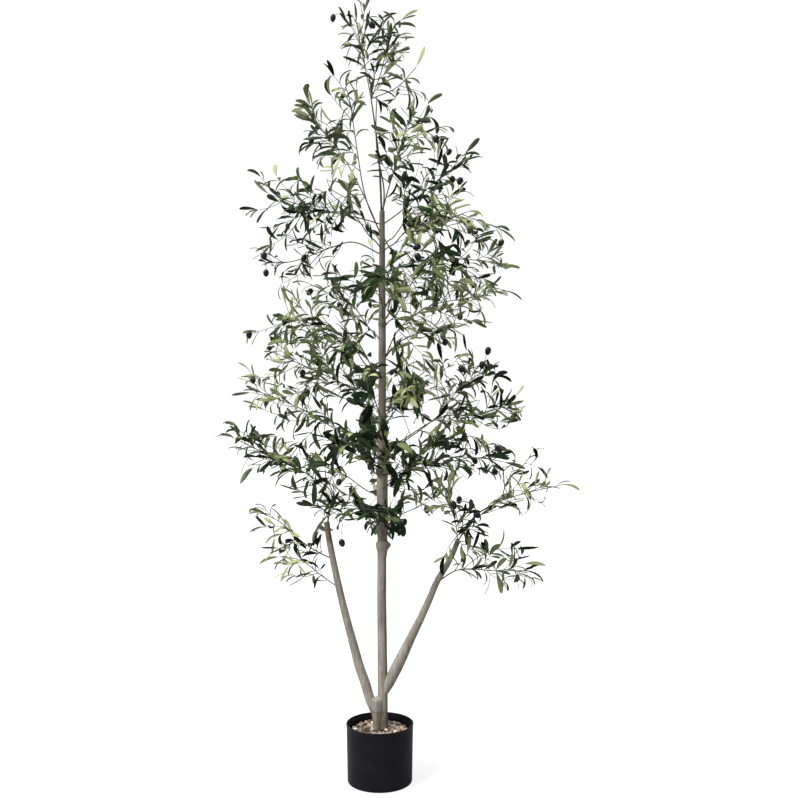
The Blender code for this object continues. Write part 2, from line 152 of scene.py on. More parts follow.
# ------------------------------------------------------ the wire branches
# name, limb, foot height, compass turn, near out, near height, far out,
# far height, half width; the same as the solids they stand for
SPRAYS = (
    ("foliage_tip_left", "leader", 1.846, 200, 0.010, 1.950, 0.064, 2.096, 0.052),
    ("foliage_tip_right", "leader", 1.846, 21, 0.036, 1.950, 0.090, 2.084, 0.048),
    ("foliage_tip_core", "leader", 1.846, 43, 0.000, 1.848, 0.020, 1.944, 0.056),
    ("foliage_top_left", "stem", 1.470, 202, 0.085, 1.725, 0.158, 1.925, 0.042),
    ("foliage_top_right", "leader", 1.846, 28, 0.072, 1.848, 0.168, 1.986, 0.036),
    ("foliage_upper_left", "stem", 1.468, 160, 0.073, 1.604, 0.278, 1.854, 0.058),
    ("foliage_upper_right", "stem", 1.536, -20, 0.036, 1.625, 0.158, 1.845, 0.064),
    ("foliage_high_right", "stem", 1.503, 34, 0.112, 1.612, 0.322, 1.728, 0.062),
    ("foliage_left_a", "stem", 1.504, 190, 0.092, 1.522, 0.372, 1.588, 0.070),
    ("foliage_right_a", "stem", 1.476, -17, 0.056, 1.553, 0.284, 1.530, 0.066),
    ("foliage_back_left_a", "stem", 1.449, 124, 0.072, 1.508, 0.328, 1.706, 0.058),
    ("foliage_back_right_a", "stem", 1.440, 68, 0.075, 1.480, 0.330, 1.618, 0.058),
    ("foliage_front_left_a", "stem", 1.436, -122, 0.064, 1.466, 0.268, 1.560, 0.060),
    ("foliage_front_right_a", "stem", 1.430, -60, 0.068, 1.444, 0.290, 1.478, 0.062),
    ("foliage_left_b", "stem", 1.422, 172, 0.100, 1.468, 0.378, 1.448, 0.056),
    ("foliage_right_b", "stem", 1.368, 8, 0.084, 1.404, 0.378, 1.428, 0.068),
    ("foliage_front_b", "stem", 1.252, -88, 0.080, 1.272, 0.386, 1.340, 0.076),
    ("foliage_back_b", "stem", 1.252, 83, 0.080, 1.292, 0.364, 1.430, 0.068),
    ("foliage_front_right_b", "stem", 1.219, -60, 0.066, 1.250, 0.276, 1.372, 0.060),
    ("foliage_back_left_b", "stem", 1.179, 120, 0.073, 1.228, 0.340, 1.392, 0.068),
    ("foliage_left_c", "stem", 1.096, 196, 0.096, 1.178, 0.358, 1.266, 0.080),
    ("foliage_right_c", "stem", 1.124, -5, 0.137, 1.282, 0.362, 1.316, 0.054),
    ("foliage_back_right_c", "stem", 1.132, 42, 0.076, 1.196, 0.330, 1.262, 0.064),
    ("foliage_front_left_c", "stem", 1.084, -110, 0.070, 1.114, 0.310, 1.218, 0.068),
    ("foliage_left_d", "stem", 0.967, 169, 0.100, 1.072, 0.340, 1.148, 0.074),
    ("foliage_right_d", "stem", 0.894, 15, 0.168, 1.040, 0.330, 1.150, 0.070),
    ("foliage_front_right_d", "stem", 0.976, -66, 0.068, 1.004, 0.306, 1.116, 0.080),
    ("foliage_front_d", "stem", 0.976, -94, 0.082, 0.994, 0.424, 1.086, 0.060),
    ("foliage_back_d", "stem", 0.948, 76, 0.085, 0.980, 0.410, 1.094, 0.064),
    ("foliage_back_left_d", "stem", 0.948, 114, 0.080, 0.992, 0.360, 1.142, 0.062),
    ("foliage_left_e", "stem", 0.921, 166, 0.122, 0.946, 0.386, 1.066, 0.066),
    ("foliage_right_e", "stem", 0.894, -15, 0.170, 0.986, 0.392, 1.028, 0.056),
    ("foliage_left_f", "bough_left", 0.690, 190, 0.047, 0.836, 0.298, 0.946, 0.054),
    ("foliage_front_left_f", "stem", 0.813, -106, 0.076, 0.840, 0.346, 0.950, 0.078),
    ("foliage_front_right_f", "stem", 0.786, -76, 0.080, 0.810, 0.372, 0.896, 0.076),
    ("foliage_right_f", "stem", 0.800, 18, 0.121, 0.890, 0.406, 0.886, 0.072),
    ("foliage_back_f", "stem", 0.786, 90, 0.090, 0.808, 0.422, 0.890, 0.066),
    ("foliage_back_left_f", "stem", 0.759, 124, 0.086, 0.780, 0.388, 0.850, 0.058),
    ("foliage_bough_left", "bough_left", 0.683, 121, 0.000, 0.700, 0.036, 0.826, 0.054),
    ("foliage_front_g", "stem", 0.664, -86, 0.064, 0.690, 0.312, 0.776, 0.060),
    ("foliage_back_left_g", "stem", 0.664, 107, 0.083, 0.676, 0.376, 0.722, 0.054),
    ("foliage_back_right_g", "stem", 0.664, 74, 0.083, 0.676, 0.376, 0.730, 0.054),
    ("foliage_bough_right", "bough_right", 0.651, 210, 0.004, 0.660, 0.062, 0.850, 0.044),
    ("foliage_right_g", "bough_right", 0.655, 14, 0.040, 0.700, 0.236, 0.920, 0.046),
    ("foliage_right_h", "bough_right", 0.655, -9, 0.116, 0.756, 0.336, 0.822, 0.040),
    ("foliage_right_low", "bough_right", 0.540, 0, 0.056, 0.602, 0.302, 0.580, 0.058),
    ("foliage_left_g", "bough_left", 0.597, 170, 0.026, 0.621, 0.248, 0.738, 0.044),
    ("foliage_left_low", "bough_left", 0.518, 188, 0.038, 0.542, 0.240, 0.612, 0.046),
)
WIRES = (
    "foliage_upper_left",
    "foliage_left_a",
    "foliage_left_b",
    "foliage_right_c",
    "foliage_right_e",
    "foliage_right_f",
)

# How leafy a spray is, the greens of its leaves, and the share of its wire
# that stays bare next to the limb (0 for the usual length)
HABITS = {
    "foliage_tip_left": (0.95, "ink", 0),
    "foliage_tip_right": (0.95, "ink", 0),
    "foliage_tip_core": (1.00, "pale", 0),
    "foliage_top_left": (0.75, "mixed", 0.55),
    "foliage_top_right": (0.55, "dusky", 0),
    "foliage_upper_left": (1.30, "green", 0.62),
    "foliage_upper_right": (1.10, "mixed", 0),
    "foliage_high_right": (1.20, "ink", 0.30),
    "foliage_left_a": (1.10, "green", 0.38),
    "foliage_right_a": (1.00, "mixed", 0.22),
    "foliage_front_left_a": (0.90, "dusky", 0),
    "foliage_front_right_a": (0.90, "green", 0),
    "foliage_left_b": (0.75, "ink", 0.30),
    "foliage_right_b": (1.00, "dusky", 0.20),
    "foliage_front_b": (1.00, "green", 0),
    "foliage_front_right_b": (1.00, "green", 0),
    "foliage_left_c": (1.20, "pale", 0),
    "foliage_right_c": (1.10, "pale", 0.25),
    "foliage_front_left_c": (1.00, "mixed", 0),
    "foliage_left_d": (1.20, "pale", 0),
    "foliage_right_d": (1.20, "mixed", 0.44),
    "foliage_front_d": (1.25, "deep", 0),
    "foliage_front_right_d": (1.00, "green", 0),
    "foliage_left_e": (1.20, "green", 0),
    "foliage_right_e": (1.20, "dusky", 0.44),
    "foliage_left_f": (1.50, "green", 0.30),
    "foliage_front_left_f": (1.00, "deep", 0),
    "foliage_front_right_f": (0.85, "dusky", 0),
    "foliage_right_f": (0.90, "dusky", 0.28),
    "foliage_bough_left": (1.10, "dusky", 0),
    "foliage_front_g": (1.00, "deep", 0),
    "foliage_bough_right": (1.20, "mixed", 0),
    "foliage_right_g": (0.60, "ink", 0.40),
    "foliage_right_h": (0.75, "pale", 0.35),
    "foliage_right_low": (1.10, "dusky", 0),
    "foliage_left_g": (0.95, "ink", 0),
    "foliage_left_low": (0.90, "pale", 0),
}
USUAL = (1.0, "mixed", 0)
# sprays whose leaves are broader or slimmer than usual
BREADTHS = {
    "foliage_tip_left": 0.90,
    "foliage_tip_right": 0.90,
    "foliage_top_left": 1.25,
    "foliage_upper_left": 1.20,
    "foliage_upper_right": 1.25,
    "foliage_high_right": 1.15,
    "foliage_left_a": 1.05,
    "foliage_left_b": 0.80,
    "foliage_right_a": 1.20,
    "foliage_front_left_a": 0.85,
    "foliage_front_b": 1.10,
    "foliage_left_d": 1.10,
    "foliage_front_d": 1.45,
    "foliage_front_right_d": 1.20,
    "foliage_right_e": 1.10,
    "foliage_front_left_f": 1.30,
    "foliage_front_right_f": 1.20,
    "foliage_left_f": 1.10,
    "foliage_left_low": 0.90,
    "foliage_right_h": 0.90,
    "foliage_right_g": 0.90,
    "foliage_bough_left": 1.20,
    "foliage_bough_right": 1.25,
    "foliage_front_g": 1.30,
    "foliage_right_low": 1.10,
}
# Courses of the branches that show best from the front, as places in the
# picture from limb to tip.  Their depth goes from the limb's to the spray's.
COURSES = {
    "foliage_tip_left": ((370, 97), (366, 72), (361, 48), (356, 24)),
    "foliage_tip_right": ((371, 97), (380, 76), (386, 50), (390, 26)),
    "foliage_top_left": ((378, 237), (366, 199), (356, 143), (350, 102), (343, 76)),
    "foliage_top_right": ((372, 97), (396, 88), (412, 72), (422, 60)),
    "foliage_upper_left": ((377, 238), (366, 200), (345, 160), (322, 130), (302, 114)),
    "foliage_upper_right": ((383, 212), (388, 190), (399, 155), (408, 122), (422, 98)),
    "foliage_high_right": ((384, 225), (400, 212), (426, 190), (446, 174), (468, 162)),
    "foliage_right_a": ((385, 262), (396, 254), (410, 238), (446, 220), (478, 208)),
    "foliage_right_b": ((385, 276), (400, 266), (434, 260), (474, 260), (512, 267)),
    "foliage_left_a": ((376, 225), (363, 219), (340, 214), (300, 205), (258, 190)),
    "foliage_left_b": ((376, 255), (353, 242), (333, 247), (290, 262), (256, 262)),
    "foliage_right_c": ((386, 366), (399, 329), (430, 306), (462, 299), (500, 292)),
    "foliage_right_d": ((386, 450), (399, 444), (442, 412), (456, 392), (490, 366)),
    "foliage_right_e": ((386, 450), (399, 442), (442, 417), (480, 414), (516, 402)),
    "foliage_right_f": ((386, 486), (415, 466), (440, 458), (480, 458), (514, 464)),
    "foliage_left_c": ((377, 378), (366, 365), (350, 342), (318, 326), (270, 312)),
    "foliage_left_d": ((376, 424), (364, 404), (350, 388), (318, 372), (272, 352)),
    "foliage_left_f": ((332, 520), (331, 492), (310, 476), (285, 462), (250, 446), (224, 433)),
    "foliage_left_g": ((331, 560), (318, 552), (300, 540), (280, 522), (254, 510)),
    "foliage_left_low": ((336, 589), (322, 576), (300, 560), (268, 556)),
    "foliage_right_low": ((440, 582), (458, 570), (500, 571), (538, 570)),
    "foliage_right_h": ((457, 539), (474, 517), (496, 503), (530, 492), (568, 484)),
    "foliage_right_g": ((457, 539), (478, 514), (500, 500), (507, 482), (526, 462), (537, 444)),
    "foliage_bough_right": ((457, 540), (455, 520), (447, 500), (442, 478)),
    "foliage_bough_left": ((331, 527), (330, 510), (334, 492), (330, 474)),
}
# side wires that show, each on the spray it leaves, with its share of leaves
FORKS = {
    "foliage_tip_left": (
        ((361, 46), (352, 26), (338, 14)),
        ((364, 62), (354, 46), (338, 38)),
        ((359, 38), (364, 18), (362, 2)),
    ),
    "foliage_tip_right": (
        ((382, 68), (394, 54), (408, 50)),
        ((386, 50), (397, 38), (410, 33)),
        ((388, 34), (398, 22), (408, 18)),
        ((388, 36), (380, 20), (376, 6)),
    ),
    "foliage_tip_core": (
        ((372, 92), (374, 70), (372, 46)),
        ((371, 96), (382, 102), (400, 114)),
    ),
    "foliage_top_left": (
        ((352, 122), (338, 104), (324, 86)),
        ((350, 108), (340, 84), (326, 68)),
        ((358, 150), (348, 140), (336, 120)),
        ((361, 170), (348, 164), (330, 174)),
        ((360, 160), (352, 152), (340, 154)),
    ),
    "foliage_top_right": (((400, 86), (414, 90), (430, 94)),),
    "foliage_upper_left": (
        ((318, 128), (312, 112), (312, 96)),
        ((330, 140), (316, 142), (302, 147)),
        ((338, 150), (322, 140), (306, 132)),
        ((345, 160), (330, 154), (316, 160)),
    ),
    "foliage_upper_right": (
        ((402, 148), (424, 132), (452, 124)),
        ((412, 140), (428, 138), (444, 142)),
        ((394, 172), (388, 158), (383, 140)),
        ((397, 162), (406, 156), (420, 146)),
        ((394, 176), (404, 190), (402, 228)),
        ((404, 134), (418, 120), (432, 96)),
        ((399, 156), (391, 140), (388, 118)),
    ),
    "foliage_high_right": (
        ((432, 186), (434, 164), (434, 140)),
        ((420, 196), (444, 198), (468, 188)),
        ((410, 205), (424, 214), (434, 236)),
        ((404, 210), (416, 176), (422, 150)),
    ),
    "foliage_right_a": (
        ((440, 222), (464, 232), (496, 242)),
        ((462, 214), (482, 222), (508, 232)),
        ((424, 228), (436, 244), (456, 262)),
        ((450, 218), (470, 228), (486, 250)),
    ),
    "foliage_right_b": (
        ((450, 262), (476, 280), (514, 294)),
        ((430, 262), (444, 278), (462, 296)),
        ((418, 264), (428, 282), (438, 306)),
        ((400, 268), (410, 284), (412, 304)),
    ),
    "foliage_left_a": (
        ((316, 208), (296, 218), (262, 232)),
        ((330, 211), (316, 196), (292, 176)),
        ((330, 212), (320, 224), (302, 236)),
        ((324, 210), (316, 198), (300, 194)),
        ((318, 208), (304, 214), (286, 220)),
        ((340, 214), (330, 228), (322, 242)),
        ((305, 220), (288, 234), (262, 250)),
    ),
    "foliage_left_b": (((322, 250), (300, 274), (272, 288)),),
    "foliage_left_c": (
        ((330, 331), (300, 340), (262, 344)),
        ((300, 320), (276, 326), (246, 336)),
        ((334, 334), (320, 312), (312, 286)),
        ((345, 340), (330, 352), (308, 362)),
    ),
    "foliage_left_d": (
        ((330, 378), (300, 392), (266, 402)),
        ((300, 366), (274, 376), (250, 378)),
        ((322, 374), (310, 398), (304, 424)),
    ),
    "foliage_left_e": (
        ((300, 420), (276, 414), (250, 402)),
        ((318, 426), (304, 440), (288, 452)),
    ),
    "foliage_right_c": (
        ((404, 327), (424, 318), (444, 310)),
        ((430, 306), (456, 318), (484, 322)),
        ((440, 304), (452, 290), (472, 280)),
        ((400, 330), (414, 346), (434, 366)),
        ((394, 346), (404, 360), (418, 380)),
    ),
    "foliage_right_d": (
        ((460, 386), (484, 376), (506, 378)),
        ((442, 412), (436, 388), (426, 366)),
        ((450, 400), (446, 376), (440, 352)),
        ((462, 386), (468, 368), (466, 342)),
        ((410, 436), (404, 418), (396, 396)),
        ((424, 424), (418, 406), (414, 384)),
    ),
    "foliage_right_e": (
        ((470, 415), (492, 428), (518, 426)),
        ((418, 430), (434, 434), (456, 448)),
        ((440, 418), (458, 428), (484, 444)),
        ((480, 414), (500, 406), (522, 390)),
    ),
    "foliage_right_f": (
        ((440, 458), (458, 470), (474, 486)),
        ((460, 456), (486, 446), (506, 440)),
        ((424, 462), (444, 472), (462, 500)),
    ),
    "foliage_left_f": (
        ((262, 450), (250, 438), (228, 424)),
        ((285, 462), (272, 448), (252, 434)),
        ((300, 470), (288, 452), (274, 434)),
        ((276, 457), (262, 464), (244, 472)),
    ),
    "foliage_right_low": (
        ((462, 571), (480, 556), (500, 549), (528, 549)),
        ((456, 572), (464, 558), (478, 544)),
    ),
    "foliage_left_low": (((318, 573), (300, 577), (276, 566)),),
    "foliage_left_g": (((290, 532), (276, 536), (256, 544)), ((300, 540), (284, 546), (266, 556))),
    "foliage_right_h": (((530, 492), (544, 484), (548, 468)), ((474, 517), (490, 512), (520, 500))),
    "foliage_bough_right": (
        ((456, 534), (462, 520), (472, 504)),
        ((457, 536), (448, 548), (442, 566)),
        ((458, 536), (468, 530), (486, 530)),
        ((452, 548), (464, 546), (482, 550)),
        ((449, 505), (462, 500), (476, 496)),
    ),
    "foliage_bough_left": (
        ((331, 520), (322, 508), (304, 504)),
        ((331, 516), (344, 506), (356, 492)),
        ((330, 508), (316, 496), (290, 488)),
        ((331, 500), (318, 484), (296, 472)),
        ((331, 514), (322, 522), (316, 540)),
        ((331, 510), (340, 518), (346, 536)),
    ),
}

# Gaps where the sky shows between two sprays, from the front: the picture's
# pixels across and down, and how wide half of the gap is
GAPS = (
    # round the leaders and the two thin tips
    (331, 103, 7), (319, 90, 8), (366, 147, 7), (372, 182, 5), (383, 110, 4), (412, 66, 7),
    (362, 82, 5), (386, 62, 4),
    # left, between upper_left, left_a and left_b
    (306, 167, 8), (323, 182, 9), (281, 244, 5), (260, 240, 8), (359, 233, 9), (347, 257, 9),
    (287, 260, 7), (338, 192, 8), (264, 202, 7), (370, 214, 7), (290, 168, 6),
    # right of the bare top of the stem
    (395, 236, 11), (395, 214, 9), (484, 221, 4), (447, 243, 4),
    # left, below left_b
    (262, 303, 9), (277, 283, 5), (261, 342, 7), (364, 308, 5), (368, 346, 7),
    # right, between right_c and right_d
    (474, 336, 9), (392, 345, 4), (432, 408, 8),
    # left, between left_d, left_e and left_f
    (333, 404, 4), (352, 408, 6), (291, 380, 6), (266, 422, 9), (359, 474, 12), (281, 500, 5),
    # left, between left_f, left_g and left_low
    (297, 515, 11), (262, 535, 8), (307, 529, 7), (352, 534, 14), (262, 554, 5),
    # right, between right_e, right_f and right_h
    (405, 425, 8), (394, 412, 5), (525, 430, 10), (511, 440, 10), (494, 438, 6),
    (484, 490, 14), (464, 491, 10), (497, 518, 10), (537, 511, 8), (560, 500, 10), (415, 478, 5),
    # round the foot of the crown beside the stem
    (364, 490, 8), (412, 513, 10), (361, 119, 6), (236, 462, 7),
    # past the outline of the crown, and some smaller ones inside it
    (284, 138, 10), (260, 158, 8), (337, 113, 7), (335, 84, 5), (463, 112, 5), (463, 212, 5),
    (489, 212, 6), (512, 212, 8), (485, 307, 6), (404, 337, 5), (362, 361, 5), (408, 44, 4),
    (392, 436, 4), (414, 88, 5), (433, 92, 5), (438, 113, 5), (316, 84, 6), (337, 190, 6),
    (286, 160, 9), (268, 168, 7), (231, 388, 7), (235, 412, 7), (258, 360, 6),
    # between the stem and the two boughs
    (425, 540, 22), (405, 560, 18), (350, 575, 16), (345, 556, 12), (470, 595, 14),
    (300, 600, 12), (360, 600, 14), (420, 585, 16),
)  # fmt: skip
# places where leaves crowd together, from the front: across, down, half width
CLUMPS = (
    # tip
    (384, 22, 10), (388, 42, 11), (386, 64, 11), (384, 86, 8),
    # top right and left of the leaders
    (338, 163, 7), (362, 188, 10), (312, 212, 12), (437, 212, 11),
    # right_a, right_b and right_c
    (445, 262, 14), (437, 288, 9), (464, 286, 8), (486, 288, 8),
    # front and left of the stem below its bare top
    (338, 288, 7), (362, 290, 6), (287, 312, 8), (290, 337, 9), (312, 337, 10),
    (312, 362, 9),
    # right_d and right_e
    (464, 362, 10), (487, 362, 9), (412, 388, 9), (464, 412, 10), (437, 437, 8),
    (462, 437, 9), (512, 412, 8),
    # front of the stem above its collar, and left of it
    (345, 440, 9), (366, 436, 8), (237, 437, 9), (263, 437, 9), (287, 440, 8),
    (287, 462, 8), (312, 462, 8),
    # round the lower crown and the boughs' tops
    (437, 488, 10), (336, 512, 13), (437, 512, 7), (462, 538, 12), (487, 538, 9),
)  # fmt: skip
# stretches of the stem that nothing hangs in front of, as rows of the picture
STEM_SHOWS = ((208, 262), (294, 358), (380, 418), (474, 497), (527, 760))

# olives that show from the front: (across, down)
OLIVES_SHOWN = (
    (333, 18), (372, 25), (436, 139), (449, 152), (460, 181), (417, 247), (418, 257),
    (470, 230), (501, 243), (304, 258), (264, 256), (266, 273), (249, 335), (285, 320),
    (253, 380), (488, 351), (482, 365), (462, 369), (448, 447), (499, 449), (454, 505),
    (477, 515), (342, 543), (445, 342),
)  # fmt: skip
OLIVES_MORE = 34  # dealt out over the rest of the crown

# --------------------------------------------------------- leaves and twigs
LEAF_LENGTH = (0.043, 0.070)
LEAF_SLIMNESS = (0.130, 0.215)  # width over length
LEAF_THICKNESS = 0.00055
PAIR_STEP = (0.020, 0.029)  # between two pairs of leaves on a twig
DEEP_FORKS = (0.22, 0.50, 0.78)  # shares of the leafy wire
CROWD_CELL, CROWD_MOST = 16, 6  # most leaves in a square of so many pixels
CLUMP_MOST = 9  # the same where leaves crowd together
SHOWN_FINE = 1.5  # places per pixel where the front view is kept account of
TUCKED_SHARE = 0.91  # how much of a tucked leaf lies over or behind others
CLUMPED_SHARE = 0.45  # the same where leaves crowd together
TUCKED_STEP = 0.014  # between two tries for a tucked twig
LEAF_STEPS = 4  # a drawn course ends this many steps short of its leaves' tips
TWIG_STEP = 0.038  # between two twigs on a branch
STEM_LEAF_STEP = 0.034
WIRE_RADIUS = 0.0019
WIRE_TIP_RADIUS = 0.0011
TWIG_RADIUS = 0.0010
TWIG_TIP_RADIUS = 0.0006

# ------------------------------------------------------------ pot and fill
POT_HEIGHT = 0.157
POT_RIM_RADIUS = 0.0909
POT_BASE_RADIUS = 0.0872
POT_FOOT_ROUND = 0.0040
POT_WALL = 0.0024
POT_FLOOR = 0.0040
POT_LIP_DEPTH = 0.006
POT_LIP_OUT = 0.0009
FILL_TOP = 0.1400
FILL_RADIUS = 0.0770


def dice_for(name):
    return random.Random(zlib.crc32(name.encode()))


def between(table, height):
    if height <= table[0][0]:
        return table[0][1]
    for (z0, v0), (z1, v1) in zip(table, table[1:]):
        if height <= z1:
            return v0 + (v1 - v0) * (height - z0) / (z1 - z0)
    return table[-1][1]


def stem_middle(height):
    return Vector((between(STEM_LEAN, height), 0.0, height))


LIMB_ROWS = {"bough_left": BOUGH_LEFT, "bough_right": BOUGH_RIGHT, "leader": LEADER}


def limb_middle(limb, height):
    if limb == "stem":
        return stem_middle(height)
    rows = LIMB_ROWS[limb]
    out = between([(row[0], row[1]) for row in rows], height)
    back = between([(row[0], row[2]) for row in rows], height)
    return Vector((out, back, height))


def in_picture(point):
    """Where a point shows in the picture, in its pixels."""
    scale = FOCAL / (point[1] - EYE.y)
    half = FRAME_SIDE / 2
    return half + scale * (point[0] - EYE.x), half - scale * (point[2] - EYE.z)


def from_picture(across, down, depth):
    """The point at that depth that shows at a place in the picture."""
    scale = (depth - EYE.y) / FOCAL
    half = FRAME_SIDE / 2
    return Vector(
        (EYE.x + (across - half) * scale, depth, EYE.z - (down - half) * scale)
    )


# ------------------------------------------------------------ mesh building
class Heap:
    """Collects many small closed shapes for one mesh."""

    def __init__(self):
        self.points, self.faces = [], {3: [], 4: []}
        self.kinds = {3: [], 4: []}
        self.count = 0

    def add(self, points, shapes):
        """points is n by 3; shapes are (faces, kind) with equal-sided faces."""
        for faces, kind in shapes:
            faces = np.asarray(faces, np.int64)
            if not len(faces):
                continue
            sides = faces.shape[1]
            self.faces[sides].append(faces + self.count)
            self.kinds[sides].append(np.full(len(faces), kind, np.int32))
        self.points.append(np.asarray(points, float))
        self.count += len(points)

    def triangles(self):
        three = sum(len(f) for f in self.faces[3])
        return three + 2 * sum(len(f) for f in self.faces[4])


def mesh_object(name, heap, materials, replaces=(), smooth=True):
    points = np.concatenate(heap.points)
    loops, starts, kinds, at = [], [], [], 0
    for sides in (4, 3):
        if not heap.faces[sides]:
            continue
        faces = np.concatenate(heap.faces[sides])
        loops.append(faces.ravel())
        starts.append(at + np.arange(len(faces)) * sides)
        kinds.append(np.concatenate(heap.kinds[sides]))
        at += faces.size
    loops, starts = np.concatenate(loops), np.concatenate(starts)
    mesh = bpy.data.meshes.new(name)
    mesh.vertices.add(len(points))
    mesh.vertices.foreach_set("co", points.astype(np.float32).ravel())
    mesh.loops.add(len(loops))
    mesh.loops.foreach_set("vertex_index", loops.astype(np.int32))
    mesh.polygons.add(len(starts))
    mesh.polygons.foreach_set("loop_start", starts.astype(np.int32))
    mesh.polygons.foreach_set("material_index", np.concatenate(kinds))
    mesh.polygons.foreach_set("use_smooth", np.full(len(starts), smooth))
    mesh.update(calc_edges=True)
    mesh.validate()
    for material in materials:
        mesh.materials.append(material)
    obj = bpy.data.objects.new(name, mesh)
    bpy.context.scene.collection.objects.link(obj)
    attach(obj, "root")
    if replaces:
        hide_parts(*replaces)
    return obj


def ring_faces(rows, around, closed=True):
    """Quads of a sheet of rows by around points, wrapped round if closed."""
    row = np.arange(rows - 1)[:, None] * around
    here = np.arange(around if closed else around - 1)[None, :]
    there = (here + 1) % around
    return np.stack(
        [row + here, row + there, row + around + there, row + around + here], -1
    ).reshape(-1, 4)


def frames_along(points):
    """Unit directions and two cross directions at each point of a path."""
    points = np.asarray(points, float)
    ways = np.gradient(points, axis=0)
    ways /= np.linalg.norm(ways, axis=1, keepdims=True)
    side = np.cross(ways[0], (0.0, 0.0, 1.0))
    if np.linalg.norm(side) < 0.05:
        side = np.array((1.0, 0.0, 0.0))
    sides = []
    for way in ways:
        side = side - way * side.dot(way)
        side /= np.linalg.norm(side)
        sides.append(side)
    sides = np.array(sides)
    return ways, sides, np.cross(ways, sides)


def tube(heap, points, radii, sides, kind):
    """A closed tapering tube along a path."""
    points = np.asarray(points, float)
    ways, across, up = frames_along(points)
    angle = np.arange(sides) * math.tau / sides
    ring = (
        np.cos(angle)[None, :, None] * across[:, None, :]
        + np.sin(angle)[None, :, None] * up[:, None, :]
    )
    body = points[:, None, :] + ring * np.asarray(radii, float)[:, None, None]
    rows = len(points)
    tip = points[-1] + ways[-1] * radii[-1] * 0.6
    foot = points[0] - ways[0] * radii[0] * 0.3
    everything = np.concatenate([body.reshape(-1, 3), tip[None], foot[None]])
    quads = ring_faces(rows, sides)
    here = np.arange(sides)
    there = (here + 1) % sides
    last = (rows - 1) * sides
    cap = np.stack([last + here, last + there, np.full(sides, rows * sides)], -1)
    foot_cap = np.stack([there, here, np.full(sides, rows * sides + 1)], -1)
    heap.add(everything, [(quads, kind), (cap, kind), (foot_cap, kind)])


def smooth_path(points, step):
    """A smooth curve through the points, at even steps along it."""
    points = [np.asarray(p, float) for p in points]
    if len(points) == 2:
        dense = [points[0] + (points[1] - points[0]) * k / 8 for k in range(9)]
    else:
        ends = [2 * points[0] - points[1], *points, 2 * points[-1] - points[-2]]
        dense = []
        for p0, p1, p2, p3 in zip(ends, ends[1:], ends[2:], ends[3:]):
            d1 = max(np.linalg.norm(p1 - p0), 1e-6) ** 0.5
            d2 = max(np.linalg.norm(p2 - p1), 1e-6) ** 0.5
            d3 = max(np.linalg.norm(p3 - p2), 1e-6) ** 0.5
            m1 = (p2 - p1) + d2 * ((p1 - p0) / d1 - (p2 - p0) / (d1 + d2))
            m2 = (p2 - p1) + d2 * ((p3 - p2) / d3 - (p3 - p1) / (d2 + d3))
            for k in range(10):
                t = k / 10
                dense.append(
                    p1 * (2 * t**3 - 3 * t**2 + 1)
                    + m1 * (t**3 - 2 * t**2 + t)
                    + p2 * (3 * t**2 - 2 * t**3)
                    + m2 * (t**3 - t**2)
                )
        dense.append(points[-1])
    dense = np.array(dense)
    along = np.concatenate(
        [[0], np.cumsum(np.linalg.norm(np.diff(dense, axis=0), axis=1))]
    )
    count = max(3, int(round(along[-1] / step)) + 1)
    wanted = np.linspace(0, along[-1], count)
    return np.stack([np.interp(wanted, along, dense[:, k]) for k in range(3)], -1)


def unit(v):
    return v / max(np.linalg.norm(v), 1e-9)


# ------------------------------------------------------------------ leaves
LEAF_ROWS = np.array((0.05, 0.13, 0.25, 0.39, 0.54, 0.70, 0.85, 0.955))
LEAF_WIDTHS = np.array((0.09, 0.30, 0.60, 0.85, 0.98, 1.00, 0.80, 0.42))
TOP_ACROSS = np.array((-1.0, -0.52, -0.06, 0.06, 0.52, 1.0))
UNDER_ACROSS = np.array((-0.55, 0.0, 0.55))
TOP_KIND, RIB_KIND, UNDER_KIND = 0, 1, 2


def leaf_faces():
    """Faces of one leaf: six points across on top, three more underneath."""
    rows = len(LEAF_ROWS)
    top, under = 6, 3
    base, tip = rows * (top + under), rows * (top + under) + 1
    at = lambda r, c: r * top + c
    low = lambda r, c: rows * top + r * under + c
    blade, rib, back, blade3, rib3, back3 = [], [], [], [], [], []
    for r in range(rows - 1):
        for c in range(top - 1):
            quad = (at(r, c), at(r + 1, c), at(r + 1, c + 1), at(r, c + 1))
            (rib if c == 2 else blade).append(quad)
        edge = lambda q: (at(q, 0), low(q, 0), low(q, 1), low(q, 2), at(q, top - 1))
        a, b = edge(r), edge(r + 1)
        for c in range(4):
            back.append((a[c], a[c + 1], b[c + 1], b[c]))
    for c in range(top - 1):
        (rib3 if c == 2 else blade3).append((base, at(0, c), at(0, c + 1)))
        (rib3 if c == 2 else blade3).append((at(rows - 1, c + 1), at(rows - 1, c), tip))
    for q, point, turned in ((0, base, False), (rows - 1, tip, True)):
        row = (at(q, 0), low(q, 0), low(q, 1), low(q, 2), at(q, top - 1))
        for c in range(4):
            pair = (row[c], row[c + 1]) if turned else (row[c + 1], row[c])
            back3.append((*pair, point))
    return blade, rib, back, blade3, rib3, back3


LEAF_FACES = leaf_faces()


